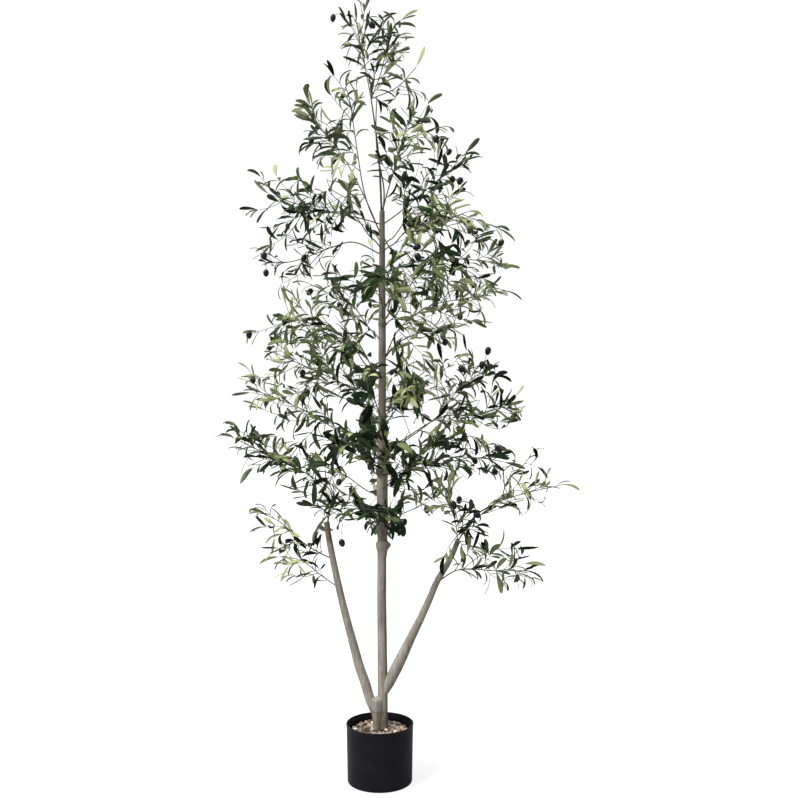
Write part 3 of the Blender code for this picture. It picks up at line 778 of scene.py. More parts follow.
def leaf_points(length, width, fold, bend, sickle, twist):
    """Points of a leaf along +X, its upper face up +Z."""
    rows = LEAF_ROWS
    fine = np.linspace(0, 1, 25)
    pitch = -bend * fine**1.3
    yaw = sickle * fine
    steps = np.stack(
        [np.cos(pitch) * np.cos(yaw), np.cos(pitch) * np.sin(yaw), np.sin(pitch)], -1
    )
    course = np.concatenate([[np.zeros(3)], np.cumsum(steps[:-1], axis=0)]) / 24
    middle = np.stack([np.interp(rows, fine, course[:, k]) for k in range(3)], -1)
    way = np.stack([np.interp(rows, fine, steps[:, k]) for k in range(3)], -1)
    way /= np.linalg.norm(way, axis=1, keepdims=True)
    side = np.cross((0.0, 0.0, 1.0), way)
    side /= np.linalg.norm(side, axis=1, keepdims=True)
    up = np.cross(way, side)
    roll = twist * rows[:, None]
    side, up = (
        side * np.cos(roll) + up * np.sin(roll),
        up * np.cos(roll) - side * np.sin(roll),
    )
    half = LEAF_WIDTHS * width / 2

    def across(places, drop):
        reach = half[:, None] * places[None, :]
        rise = half[:, None] * (
            fold * np.abs(places)[None, :] - 0.42 * fold * places[None, :] ** 2
        )
        rise = rise - drop[None, :]
        return (
            middle[:, None, :] * length
            + reach[..., None] * side[:, None, :]
            + rise[..., None] * up[:, None, :]
        )

    thin = LEAF_THICKNESS
    top = across(TOP_ACROSS, np.zeros(6))
    under = across(UNDER_ACROSS, np.array((thin, thin * 2.0, thin)))
    ends = np.stack([np.zeros(3), course[-1] * length])
    return np.concatenate([top.reshape(-1, 3), under.reshape(-1, 3), ends])


# ------------------------------------------------------- keeping places clear
low_corner = np.array(cad_box[0]) - 0.006
high_corner = np.array(cad_box[1]) + 0.012
low_corner[2] = 0.2
GAP_SPOTS = np.array(GAPS, float)
CLUMP_SPOTS = np.array(CLUMPS, float)


def clear_of_limbs(point, margin):
    """True if a point is outside the stem and the boughs."""
    x, y, z = point
    if 0.14 < z < 1.54:
        if math.hypot(x - between(STEM_LEAN, z), y) < between(STEM_PROFILE, z) + margin:
            return False
    for rows in (BOUGH_LEFT, BOUGH_RIGHT):
        if rows[0][0] < z < rows[-1][0]:
            out = between([(row[0], row[1]) for row in rows], z)
            back = between([(row[0], row[2]) for row in rows], z)
            thick = between([(row[0], row[3]) for row in rows], z)
            if math.hypot(x - out, y - back) < thick * 1.1 + margin:
                return False
    return True


def may_show(points):
    """True if a leaf along these points stays in the crown's box and leaves
    the gaps and the bare stretches of the stem as the front view has them."""
    for point in points:
        if (point < low_corner).any() or (point > high_corner).any():
            return False
        across, down = in_picture(point)
        reach = np.hypot(GAP_SPOTS[:, 0] - across, GAP_SPOTS[:, 1] - down)
        if (reach < GAP_SPOTS[:, 2]).any():
            return False
        if point[1] < 0 and 373.5 < across < 388.5:
            if any(top < down < foot for top, foot in STEM_SHOWS):
                return False
    return True


# ----------------------------------------------------------- growing a spray
class Growth:
    """All that grows: wires, twigs, leaves and olives, by region of the crown."""

    def __init__(self):
        self.leaves = []  # (region, spray, points)
        self.wires = []  # (path, radii, kind)
        self.joints = []  # (point, direction): where an olive can hang
        self.crowd = {}  # leaves in each square of the front view
        side = int(FRAME_SIDE * SHOWN_FINE)
        self.shown = np.zeros((side, side), bool)  # what leaves cover from the front
        self.skipped = 0


grown = Growth()
TINTS = ("ink", "deep", "green", "olive", "moss", "sage", "pale")
MOODS = {  # shares of the tints, in the order above
    # the ink mood deals mostly the ink green, so its sprays carry that partly painted shade
    "ink": (0.50, 0.10, 0.03, 0.06, 0.09, 0.12, 0.10),
    "dusky": (0.33, 0.11, 0.06, 0.07, 0.12, 0.16, 0.15),
    "green": (0.21, 0.14, 0.22, 0.04, 0.11, 0.15, 0.13),
    "deep": (0.22, 0.38, 0.26, 0.02, 0.04, 0.05, 0.03),
    "mixed": (0.25, 0.09, 0.08, 0.06, 0.14, 0.20, 0.18),
    "pale": (0.15, 0.05, 0.05, 0.03, 0.15, 0.27, 0.30),
}


def tint_for(spray, dice):
    """The main green of one twig, by its spray's mood."""
    mood = HABITS.get(spray, USUAL)[1]
    return dice.choices(range(len(TINTS)), MOODS[mood])[0]


SPREAD = np.array([[1 - k / 5, k / 5] for k in range(6)])
ROWS_BETWEEN = np.linspace(0, len(LEAF_ROWS) - 1, 40)


def spots_of(points):
    """The places in the front view that a leaf covers."""
    across, down = in_picture(points[: len(LEAF_ROWS) * 6].T)
    rows = np.arange(len(LEAF_ROWS))
    found = []
    for part in (down.reshape(-1, 6), across.reshape(-1, 6)):
        edges = np.stack([np.interp(ROWS_BETWEEN, rows, part[:, k]) for k in (0, 5)])
        places = (SPREAD @ edges * SHOWN_FINE).astype(int)
        found.append(np.clip(places, 0, len(grown.shown) - 1))
    return tuple(found)


def set_leaf(spray, tint, root, way, face, dice, size=1.0, tries=4, tucked=False):
    """Adds one leaf at root, pointing along way with its upper face to face.

    A tucked leaf fills out the depth of the crown: seen from the front it lies
    mostly over or behind other leaves.
    """
    if dice.random() < 0.32:
        tint = tint_for(spray, dice)
    for attempt in range(tries * 2 if tucked else tries):
        length = dice.uniform(*LEAF_LENGTH) * size
        width = length * dice.uniform(*LEAF_SLIMNESS) * BREADTHS.get(spray, 1.0)
        wander = np.array([dice.gauss(0, 1) for _ in range(3)])
        x = unit(way + wander * (0.14 + 0.16 * min(attempt, 4)))
        z = unit(face + np.array([dice.gauss(0, 1) for _ in range(3)]) * 0.38)
        z = unit(z - x * z.dot(x))
        y = np.cross(z, x)
        bend = max(-0.5, min(1.9, dice.gauss(0.80, 0.60)))
        shape = leaf_points(
            length,
            width,
            fold=dice.uniform(0.10, 0.50),
            bend=bend,
            sickle=dice.gauss(0, 0.48),
            twist=dice.gauss(0, 0.50),
        )
        points = root + shape @ np.stack([x, y, z])
        course = [points[15], points[33], points[-1]]
        if not may_show(course) or not all(clear_of_limbs(p, 0.0015) for p in course):
            continue
        spots = spots_of(points)
        across, down = in_picture(points[27])
        reach = np.hypot(CLUMP_SPOTS[:, 0] - across, CLUMP_SPOTS[:, 1] - down)
        clumped = (reach < CLUMP_SPOTS[:, 2]).any()
        if tucked:
            least = CLUMPED_SHARE if clumped else TUCKED_SHARE
            if grown.shown[spots].mean() < least:
                continue
        else:
            cell = int(across // CROWD_CELL), int(down // CROWD_CELL)
            if grown.crowd.get(cell, 0) >= (CLUMP_MOST if clumped else CROWD_MOST):
                continue
            grown.crowd[cell] = grown.crowd.get(cell, 0) + 1
        grown.shown[spots] = True
        grown.leaves.append((spray, tint, points))
        return True
    grown.skipped += 1
    return False


def leafy(
    spray, path, start, dice, tint, size=1.0, step=PAIR_STEP, fill=1.0, tucked=False
):
    """Pairs of leaves along a path from a distance on, and some at its end."""
    ways, across, up = frames_along(path)
    along = np.concatenate(
        [[0], np.cumsum(np.linalg.norm(np.diff(path, axis=0), axis=1))]
    )
    place, turn = start, dice.uniform(0, math.tau)
    while place < along[-1] - 0.008:
        k = min(int(np.searchsorted(along, place)), len(path) - 1)
        share = (place - start) / max(along[-1] - start, 0.01)
        angle = math.radians(dice.uniform(34, 64)) * (1 - 0.25 * share)
        grow = size * (1.0 - 0.18 * share) * dice.uniform(0.86, 1.1)
        for flip in (0, math.pi):
            if dice.random() > fill:
                continue
            out = across[k] * math.cos(turn + flip) + up[k] * math.sin(turn + flip)
            way = unit(ways[k] * math.cos(angle) + out * math.sin(angle))
            inward = unit(ways[k] - way * ways[k].dot(way))
            outward = unit(np.array((path[k][0] - 0.006, path[k][1], 0.02)))
            face = unit(inward * 0.45 + outward * 0.40 + np.array((0.0, 0.0, 0.75)))
            set_leaf(spray, tint, path[k], way, face, dice, grow, tucked=tucked)
        grown.joints.append((path[k], ways[k]))
        turn += math.radians(90 + dice.gauss(0, 18))
        place += dice.uniform(*step)
    way = ways[-1]
    face = unit(np.cross(way, (dice.gauss(0, 1), dice.gauss(0, 1), 0.3)))
    if face[2] < 0:
        face = -face
    set_leaf(spray, tint, path[-1], way, face, dice, size * 0.95, tucked=tucked)
    if dice.random() < 0.6:
        way_up = unit(way + face * 0.6)
        set_leaf(spray, tint, path[-1], way_up, face, dice, size * 0.8, tucked=tucked)
    grown.joints.append((path[-1], way))


def grow_twig(
    spray, root, way, length, dice, size=1.0, lift=0.30, fill=1.0, tucked=False
):
    """A thin side twig that bows up a little, with its leaves."""
    bow = np.array([dice.gauss(0, 0.35), dice.gauss(0, 0.35), lift + dice.gauss(0, 0.35)])
    steps = max(4, int(length / 0.012))
    points, here, way = [np.array(root, float)], np.array(root, float), unit(way)
    for k in range(steps):
        here = here + way * (length / steps)
        way = unit(way + bow / steps)
        points.append(here.copy())
    path = np.array(points)
    if not all(clear_of_limbs(p, 0.001) for p in path[2:]):
        return
    if not may_show(path[3::2]):
        return
    radii = np.linspace(TWIG_RADIUS, TWIG_TIP_RADIUS, len(path))
    tint = tint_for(spray, dice)
    leaves, joints = len(grown.leaves), len(grown.joints)
    start = dice.uniform(0.010, 0.016)
    leafy(spray, path, start, dice, tint, size, fill=fill, tucked=tucked)
    if tucked:
        across, down = in_picture(path.T)
        most = len(grown.shown) - 1
        rows = np.clip((down * SHOWN_FINE).astype(int), 0, most)
        columns = np.clip((across * SHOWN_FINE).astype(int), 0, most)
        under = grown.shown[rows, columns].mean()
        if len(grown.leaves) - leaves < 3 or under < 0.6:
            del grown.leaves[leaves:], grown.joints[joints:]
            return
    grown.wires.append((path, radii, 1))


def default_course(spray):
    """Limb to tip by rule: rising fast from the limb, then levelling out."""
    name, limb, foot_z, turn, near, near_z, far, far_z, girth = spray
    dice = dice_for(name + " course")
    foot = limb_middle(limb, foot_z)
    angle = math.radians(turn)
    away = Vector((math.cos(angle), math.sin(angle), 0.0))
    aside = Vector((-away.y, away.x, 0.0))
    start = foot + away * near
    start.z = near_z
    end = foot + away * far
    end.z = far_z
    end = end.lerp(start, 0.032 / max((end - start).length, 0.04))
    middle = foot.lerp(start, 0.5)
    middle.z = foot.z + (start.z - foot.z) * 0.62
    wave = dice.uniform(0.10, 0.2) * (end - start).length
    lifts = (dice.uniform(0.2, 0.9), dice.uniform(-0.2, 0.7))
    third = start.lerp(end, 0.36) + aside * dice.gauss(0, 0.25) * wave
    third.z += lifts[0] * wave * 0.6
    two = start.lerp(end, 0.70) + aside * dice.gauss(0, 0.4) * wave
    two.z += lifts[1] * wave * 0.5
    return [foot, middle, start, third, two, end]


def shown_course(spray, places):
    """Limb to tip through places in the picture, its depth from the spray's."""
    name, limb, foot_z, turn, near, near_z, far, far_z, girth = spray
    foot = limb_middle(limb, foot_z)
    angle = math.radians(turn)
    depth_far = foot.y + math.sin(angle) * far
    spans = [0.0]
    for (x0, y0), (x1, y1) in zip(places, places[1:]):
        spans.append(spans[-1] + math.hypot(x1 - x0, y1 - y0))
    points = []
    for (x, y), span in zip(places, spans):
        share = span / spans[-1]
        points.append(from_picture(x, y, foot.y + (depth_far - foot.y) * share))
    points[0] = foot
    return points


def grow_spray(spray):
    name, limb, foot_z, turn, near, near_z, far, far_z, girth = spray
    dice = dice_for(name)
    density, _, bare_share = HABITS.get(name, USUAL)
    if name in COURSES:
        points = shown_course(spray, COURSES[name])
    else:
        points = default_course(spray)
    path = smooth_path(points, 0.008)
    if name in COURSES:
        path = path[:-LEAF_STEPS]
    along = np.concatenate(
        [[0], np.cumsum(np.linalg.norm(np.diff(path, axis=0), axis=1))]
    )
    total = along[-1]
    bare = min(0.72 * math.hypot(near, near_z - foot_z), total * 0.62)
    bare = bare_share * total or bare
    thick = WIRE_RADIUS if total > 0.2 else WIRE_RADIUS * 0.75
    radii = np.linspace(thick, WIRE_TIP_RADIUS, len(path))
    grown.wires.append((path, radii, 0))
    ways, across, up = frames_along(path)

    place = bare + 0.012
    turn_round = dice.uniform(0, math.tau)
    while place < total - 0.022:
        k = min(int(np.searchsorted(along, place)), len(path) - 1)
        share = (place - bare) / (total - bare)
        full = girth * (0.50 + 0.75 * math.sin(math.pi * min(1.0, share * 0.85 + 0.12)))
        length = full * dice.uniform(0.75, 1.2)
        angle = math.radians(dice.uniform(36, 60))
        out = across[k] * math.cos(turn_round) + up[k] * math.sin(turn_round)
        way = unit(ways[k] * math.cos(angle) + out * math.sin(angle))
        grow_twig(name, path[k], way, max(0.03, length), dice, fill=0.94)
        turn_round += math.radians(137.5 + dice.gauss(0, 20))
        place += TWIG_STEP * dice.uniform(0.8, 1.25) / density
    # leaves on the wire itself, between its twigs
    step = (STEM_LEAF_STEP * 0.8 / density, STEM_LEAF_STEP * 1.3 / density)
    leafy(name, path, bare + 0.006, dice, tint_for(name, dice), 1.05, step=step, fill=0.85)
    # longer side twigs that fill the crown out in depth and to the sides
    sideways = np.cross(ways[len(ways) // 2], (0.0, 0.0, 1.0))
    if name in COURSES:
        sideways = np.array((0.0, 1.0, 0.0))
    sideways = unit(sideways)
    for n, share in enumerate(DEEP_FORKS if girth > 0.05 else DEEP_FORKS[1::2]):
        k = int((bare + (total - bare) * (share + dice.uniform(-0.06, 0.06))) / total * (len(path) - 1))
        k = max(1, min(k, len(path) - 2))
        turn = 1 if (n + len(name)) % 2 else -1
        way = unit(ways[k] * dice.uniform(0.45, 0.8) + sideways * turn + np.array((0, 0, dice.uniform(0.0, 0.35))))
        length = min(0.15, girth * dice.uniform(1.5, 2.1)) * (1.15 - 0.45 * share)
        grow_twig(name, path[k], way, length, dice, 1.0, lift=0.22, fill=0.95)
    for course in FORKS.get(name, ()):
        seen = np.array([in_picture(point) for point in path])
        k = int(np.hypot(seen[:, 0] - course[0][0], seen[:, 1] - course[0][1]).argmin())
        k = max(1, min(k, len(path) - 2))
        tilt = dice.uniform(0.02, 0.09) * dice.choice((-1, 1))
        points = [path[k]]
        for n, (x, y) in enumerate(course[1:], 1):
            depth = path[k][1] + tilt * n / (len(course) - 1)
            points.append(np.array(from_picture(x, y, depth)))
        fork = smooth_path(points, 0.008)
        fork = fork[: max(4, len(fork) - LEAF_STEPS)]
        grown.wires.append(
            (fork, np.linspace(TWIG_RADIUS * 1.25, TWIG_TIP_RADIUS, len(fork)), 1)
        )
        leafy(name, fork, 0.016, dice, tint_for(name, dice), 1.0)
    return path


def fill_out(spray, path):
    """More twigs on a spray, tucked behind or before what the front view shows."""
    name, limb, foot_z, turn, near, near_z, far, far_z, girth = spray
    dice = dice_for(name + " depth")
    ways, across, up = frames_along(path)
    along = np.concatenate(
        [[0], np.cumsum(np.linalg.norm(np.diff(path, axis=0), axis=1))]
    )
    deep = abs(math.sin(math.radians(turn)))
    bare = min(0.55 * math.hypot(near, near_z - foot_z), along[-1] * 0.5)
    place = bare
    while place < along[-1] - 0.01:
        k = min(int(np.searchsorted(along, place)), len(path) - 1)
        turn_round = dice.uniform(0, math.tau)
        angle = math.radians(dice.uniform(35, 75))
        out = across[k] * math.cos(turn_round) + up[k] * math.sin(turn_round)
        if deep < 0.6:
            out = out + np.array((0.0, dice.choice((-1.2, 1.2)), 0.0))
        way = unit(ways[k] * math.cos(angle) + unit(out) * math.sin(angle))
        length = max(0.045, girth * dice.uniform(0.9, 1.5))
        grow_twig(name, path[k], way, length, dice, fill=0.97, tucked=True)
        place += (TUCKED_STEP if deep >= 0.6 else TUCKED_STEP * 1.8) * dice.uniform(0.7, 1.3)


paths = {}
for spray in SPRAYS:
    paths[spray[0]] = grow_spray(spray)
for spray in SPRAYS:
    fill_out(spray, paths[spray[0]])


# ------------------------------------------------------------------ materials
def new_material(name, colour, roughness, specular=0.5):
    material = bpy.data.materials.new(name)
    material.use_nodes = True
    shader = material.node_tree.nodes["Principled BSDF"]
    shader.inputs["Base Color"].default_value = (*colour, 1.0)
    shader.inputs["Roughness"].default_value = roughness
    shader.inputs["Specular IOR Level"].default_value = specular
    material.diffuse_color = (*colour, 1.0)
    return material


class Nodes:
    """Short hand for building a node tree."""

    def __init__(self, material):
        self.tree = material.node_tree
        self.shader = self.tree.nodes["Principled BSDF"]

    def add(self, kind, **settings):
        node = self.tree.nodes.new("ShaderNode" + kind)
        for key, value in settings.items():
            setattr(node, key, value)
        return node

    def link(self, a, b):
        self.tree.links.new(a, b)

    def coords(self, scale):
        where = self.add("TexCoord")
        mapping = self.add("Mapping")
        mapping.inputs["Scale"].default_value = scale
        self.link(where.outputs["Object"], mapping.inputs["Vector"])
        return mapping.outputs["Vector"]

    def noise(self, vector, scale, detail=4.0, rough=0.55, distortion=0.0):
        node = self.add("TexNoise")
        node.inputs["Scale"].default_value = scale
        node.inputs["Detail"].default_value = detail
        node.inputs["Roughness"].default_value = rough
        node.inputs["Distortion"].default_value = distortion
        self.link(vector, node.inputs["Vector"])
        return node.outputs["Fac"]

    def ramp(self, value, stops):
        node = self.add("ValToRGB")
        ramp = node.color_ramp
        while len(ramp.elements) < len(stops):
            ramp.elements.new(0.5)
        for element, (place, colour) in zip(ramp.elements, stops):
            element.position = place
            element.color = (*colour, 1.0) if len(colour) == 3 else colour
        self.link(value, node.inputs["Fac"])
        return node.outputs["Color"]

    def mix(self, factor, a, b, way="MIX"):
        node = self.add("Mix", data_type="RGBA", blend_type=way)
        if isinstance(factor, (int, float)):
            node.inputs["Factor"].default_value = factor
        else:
            self.link(factor, node.inputs["Factor"])
        for name, value in (("A", a), ("B", b)):
            socket = next(s for s in node.inputs if s.name == name and s.type == "RGBA")
            if isinstance(value, tuple):
                socket.default_value = (*value, 1.0)
            else:
                self.link(value, socket)
        return next(s for s in node.outputs if s.type == "RGBA")

    def math(self, way, a, b=None, clamp=False):
        node = self.add("Math", operation=way, use_clamp=clamp)
        for socket, value in zip(node.inputs, (a, b)):
            if value is None:
                continue
            if isinstance(value, (int, float)):
                socket.default_value = value
            else:
                self.link(value, socket)
        return node.outputs[0]

    def bump(self, height, strength, distance):
        node = self.add("Bump")
        node.inputs["Strength"].default_value = strength
        node.inputs["Distance"].default_value = distance
        self.link(height, node.inputs["Height"])
        self.link(node.outputs["Normal"], self.shader.inputs["Normal"])


LEAF_COLOURS = {  # upper face, middle rib, under face
    # the ink green's near-black faces are partly the leaves' own dark green and partly painted shade, the colour of
    # leaves deep in shade
    "ink": ((0.0048, 0.0070, 0.0024), (0.022, 0.030, 0.012), (0.066, 0.082, 0.042)),
    "deep": ((0.0110, 0.0290, 0.0105), (0.036, 0.064, 0.028), (0.120, 0.150, 0.084)),
    "green": ((0.0300, 0.0700, 0.0240), (0.066, 0.118, 0.048), (0.170, 0.216, 0.122)),
    "olive": ((0.0420, 0.0580, 0.0180), (0.090, 0.113, 0.042), (0.204, 0.232, 0.130)),
    "moss": ((0.1120, 0.1440, 0.0500), (0.195, 0.229, 0.100), (0.235, 0.264, 0.140)),
    "sage": ((0.2350, 0.2750, 0.1220), (0.340, 0.376, 0.195), (0.345, 0.374, 0.216)),
    "pale": ((0.4600, 0.5000, 0.2500), (0.570, 0.602, 0.350), (0.520, 0.546, 0.340)),
}
leaf_materials = []
for tint in TINTS:
    for part, colour in zip(("top", "rib", "under"), LEAF_COLOURS[tint]):
        rough = 0.46 if part != "under" else 0.70
        leaf_materials.append(
            new_material(f"leaf_{tint}_{part}", colour, rough, 0.07)
        )

# -------------------------------------------------------------- leaf pieces
REGIONS = {
    "leaves_top": [s[0] for s in SPRAYS[:7]],
    "leaves_upper": [s[0] for s in SPRAYS[7:14]],
    "leaves_high_middle": [s[0] for s in SPRAYS[14:20]],
    "leaves_middle": [s[0] for s in SPRAYS[20:27]],
    "leaves_low_middle": [s[0] for s in SPRAYS[27:33]],
    "leaves_lower": [s[0] for s in SPRAYS[33:39]],
    "leaves_low_boughs": [s[0] for s in SPRAYS[39:]],
}
blade, rib, back, blade3, rib3, back3 = LEAF_FACES
leaf_count = 0
for piece, sprays in REGIONS.items():
    heap = Heap()
    for region, tint, points in grown.leaves:
        if region not in sprays:
            continue
        leaf_count += 1
        slot = tint * 3
        heap.add(
            points,
            [
                (blade, slot + TOP_KIND),
                (blade3, slot + TOP_KIND),
                (rib, slot + RIB_KIND),
                (rib3, slot + RIB_KIND),
                (back, slot + UNDER_KIND),
                (back3, slot + UNDER_KIND),
            ],
        )
    mesh_object(piece, heap, leaf_materials, sprays)
    print(piece, "triangles", heap.triangles())

# --------------------------------------------------------------- wire pieces
wire_brown = new_material("wire_brown", (0.100, 0.085, 0.058), 0.62)
nodes = Nodes(wire_brown)
patch = nodes.noise(nodes.coords((60, 60, 60)), 1.6, 3.0)
nodes.link(
    nodes.ramp(
        patch,
        [(0.30, (0.060, 0.052, 0.034)), (0.52, (0.115, 0.100, 0.068)), (0.72, (0.185, 0.165, 0.115))],
    ),
    nodes.shader.inputs["Base Color"],
)
twig_green = new_material("twig_green", (0.095, 0.110, 0.050), 0.58)
nodes = Nodes(twig_green)
patch = nodes.noise(nodes.coords((60, 60, 60)), 1.2, 2.0)
nodes.link(
    nodes.ramp(patch, [(0.35, (0.070, 0.080, 0.036)), (0.65, (0.135, 0.150, 0.075))]),
    nodes.shader.inputs["Base Color"],
)
heap = Heap()
for path, radii, kind in grown.wires:
    if kind == 0:
        tube(heap, path[::2] if len(path) % 2 else path, radii[::2] if len(path) % 2 else radii, 7, 0)
    else:
        tube(heap, path, radii, 5, 1)
leader = smooth_path([(x, y, z) for z, x, y, r in LEADER], 0.01)
leader_radii = [between([(row[0], row[3]) for row in LEADER], p[2]) for p in leader]
tube(heap, leader, leader_radii, 8, 0)
# a second thin leader beside the first
second = smooth_path(
    [
        from_picture(383, 214, -0.004),
        from_picture(384, 190, -0.006),
        from_picture(377, 150, -0.008),
        from_picture(376, 118, -0.008),
        from_picture(377, 97, -0.006),
    ],
    0.01,
)
tube(heap, second, np.linspace(0.0022, 0.0014, len(second)), 7, 0)
wires = mesh_object(
    "wire_branches",
    heap,
    [wire_brown, twig_green],
    ["leader"] + ["wire_" + name for name in WIRES],
)
print("wires", heap.triangles(), "leaves", leaf_count, "skipped", grown.skipped)
counts = {}
for region, tint, points in grown.leaves:
    counts[region] = counts.get(region, 0) + 1
print(sorted(counts.items(), key=lambda item: item[1]))


# ------------------------------------------------------------------- olives
def olive_shape(length, width):
    """An olive along -Z from its stalk, slightly pointed at its far end."""
    rows, around = 9, 12
    points = []
    for r in range(1, rows):
        share = r / rows
        theta = math.pi * share
        radius = math.sin(theta) ** 0.92 * width / 2 * (1 + 0.10 * math.cos(theta))
        for a in range(around):
            angle = math.tau * a / around
            points.append(
                (
                    radius * math.cos(angle),
                    radius * math.sin(angle),
                    -length / 2 * (1 - math.cos(theta)),
                )
            )
    points += [(0, 0, 0), (0, 0, -length - 0.0006)]
    quads = ring_faces(rows - 1, around)[:, ::-1]
    here = np.arange(around)
    there = (here + 1) % around
    last = (rows - 2) * around
    top = np.stack([here, there, np.full(around, (rows - 1) * around)], -1)
    tip = np.stack(
        [last + there, last + here, np.full(around, (rows - 1) * around + 1)], -1
    )
    return np.array(points), quads, top, tip


def hang_olive(heap, joint, place, dice):
    """An olive centred on place, on a thin bowed stalk from joint."""
    length, width = dice.uniform(0.0200, 0.0235), dice.uniform(0.0150, 0.0175)
    joint, place = np.asarray(joint, float), np.asarray(place, float)
    drop = unit(place - joint)
    axis = unit(np.array((drop[0] * 0.55, drop[1] * 0.55, -0.8)) + np.array([dice.gauss(0, 0.25) for _ in range(3)]))
    top = place - axis * length / 2
    side = unit(np.cross(axis, (0.3, 1.0, 0.1)))
    other = np.cross(axis, side)
    points, quads, cap, tip = olive_shape(length, width)
    turned = top + points @ np.stack([side, other, -axis])
    kind = dice.choices((0, 1, 2), (0.78, 0.15, 0.07))[0]
    heap.add(turned, [(quads, kind), (cap, kind), (tip, kind)])
    bow = (joint + top) / 2 + np.array((0, 0, 0.004 + 0.25 * abs(top[2] - joint[2])))
    stalk = smooth_path([joint, bow, top - axis * -0.001], 0.005)
    tube(heap, stalk, np.full(len(stalk), 0.00065), 5, 3)


def olive_material(name, colour, roughness, blush):
    """Waxy skin with a cloudy bloom of a second colour."""
    material = new_material(name, colour, roughness, 0.35)
    nodes = Nodes(material)
    cloud = nodes.noise(nodes.coords((55, 55, 40)), 1.4, 3.0)
    nodes.link(
        nodes.ramp(cloud, [(0.40, colour), (0.66, blush)]),
        nodes.shader.inputs["Base Color"],
    )
    nodes.shader.inputs["Coat Weight"].default_value = 0.25
    nodes.shader.inputs["Coat Roughness"].default_value = 0.12
    return material


olive_materials = [
    olive_material("olive_black", (0.0042, 0.0038, 0.0046), 0.26, (0.0085, 0.0070, 0.0085)),
    olive_material("olive_plum", (0.0100, 0.0055, 0.0070), 0.28, (0.022, 0.011, 0.012)),
    olive_material("olive_turning", (0.050, 0.030, 0.016), 0.32, (0.085, 0.075, 0.028)),
    twig_green,
]
heap = Heap()
dice = dice_for("olives")
joints = np.array([point for point, way in grown.joints])
seen = np.array([in_picture(point) for point in joints])
olive_places = []
for across, down in OLIVES_SHOWN:
    away = np.hypot(seen[:, 0] - across, seen[:, 1] - down)
    near = np.argsort(away)[:14]
    near = [k for k in near if away[k] < 26] or [int(away.argmin())]
    k = min(near, key=lambda k: (away[k] < 4) * 20 + abs(away[k] - 9) + joints[k][1] * 25)
    place = np.array(from_picture(across, down, joints[k][1] - 0.006))
    hang_olive(heap, joints[k], place, dice)
    olive_places.append(place)
order = list(range(len(joints)))
dice.shuffle(order)
for k in order:
    if len(olive_places) >= len(OLIVES_SHOWN) + OLIVES_MORE:
        break
    joint = joints[k]
    away = np.array((joint[0] - 0.006, joint[1], 0.0))
    if np.linalg.norm(away) < 0.17 or joint[1] < 0.03:
        continue
    place = joint + unit(away) * dice.uniform(0.004, 0.014)
    place[2] -= dice.uniform(0.018, 0.028)
    if min(np.linalg.norm(place - other) for other in olive_places) < 0.06:
        continue
    if not may_show([place]):
        continue
    hang_olive(heap, joint, place, dice)
    olive_places.append(place)
mesh_object("olives", heap, olive_materials)
print("olives", len(olive_places), heap.triangles())


# ------------------------------------------------------------- bark relief
def smoothed(table, step, blur):
    """A profile at even heights with its corners eased."""
    heights = np.arange(table[0][0], table[-1][0] + step / 2, step)
    values = np.interp(heights, [row[0] for row in table], [row[1] for row in table])
    count = int(blur / step)
    if count > 0:
        kernel = np.hanning(2 * count + 3)[1:-1]
        kernel /= kernel.sum()
        padded = np.concatenate(
            [np.full(count, values[0]), values, np.full(count, values[-1])]
        )
        values = np.convolve(padded, kernel, "valid")
    return heights, values


def rough_zones(zones, height):
    """How rough the bark is at a height, 0 to 1."""
    return max(
        [
            depth * max(0.0, min(1.0, (height - low) / ease, (high - height) / ease))
            for low, high, ease, depth in zones
        ]
        + [0.0]
    )


def relief(angle, height, rough, seed):
    """How far the bark stands out or in at a place, in metres."""
    c, s = math.cos(angle), math.sin(angle)
    fine = noise.noise(Vector((c * 2.6 + seed, s * 2.6, height * 22)))
    streak = noise.noise(Vector((c * 5.5, s * 5.5 + seed, height * 9)))
    crack = 1 - abs(noise.noise(Vector((c * 3.4 + 7, s * 3.4 + seed, height * 26)))) * 2.2
    lump = noise.noise(Vector((c * 1.3, s * 1.3, height * 14 + seed)))
    plain = 0.00022 * fine + 0.00016 * streak
    deep = -0.0011 * max(0.0, crack) ** 3 + 0.0009 * lump + 0.0005 * fine
    return plain * (1 - 0.4 * rough) + deep * rough


def knot(angle, height, place, at, size, out):
    """A rounded bump at one place on a limb of about that half width."""
    turn = (angle - math.radians(place) + math.pi) % math.tau - math.pi
    flat = math.hypot(turn * 0.014 / size, (height - at) / size)
    return out * math.exp(-flat * flat)


AROUND = 88
STEM_KNOTS = (  # compass angle, height, size, how far out
    (-12, 0.638, 0.0075, 0.0052),
    (168, 0.641, 0.0090, 0.0016),
    (-150, 0.690, 0.0080, 0.0014),
    (-35, 0.705, 0.0070, 0.0016),
    (-100, 0.300, 0.0080, 0.0008),
    (60, 0.455, 0.0090, 0.0009),
    (-70, 0.520, 0.0070, 0.0008),
    (-95, 0.165, 0.0100, 0.0012),
    (20, 0.172, 0.0110, 0.0014),
    (-170, 0.170, 0.0100, 0.0012),
    (100, 0.180, 0.0100, 0.0012),
    (-60, 0.990, 0.0060, 0.0008),
    (150, 1.180, 0.0050, 0.0007),
)
STEM_ROUGH = (  # from height, to height, easing, how rough
    (0.120, 0.196, 0.010, 0.85),
    (0.618, 0.656, 0.008, 0.55),
    (0.650, 0.735, 0.010, 1.00),
    (0.828, 0.850, 0.004, 0.60),
    (1.226, 1.246, 0.004, 0.35),
)
SLEEVE_TOP = 0.2275
SLEEVE_AT = (-0.0058, -0.0035)  # middle of the sleeve, left and in front of the stem
SLEEVE_LESS = 0.0046  # how much less its radius is than the foot's
STEM_AT = (0.0074, 0.0000)  # middle of the stem inside the foot
FOOT_EYE = (0.0030, -0.0010)  # a place inside both
STEM_RINGS = ((0.1870, 0.0007), (0.1952, 0.0009), (0.2235, 0.0006), (0.8490, 0.0006), (1.2300, 0.0004))


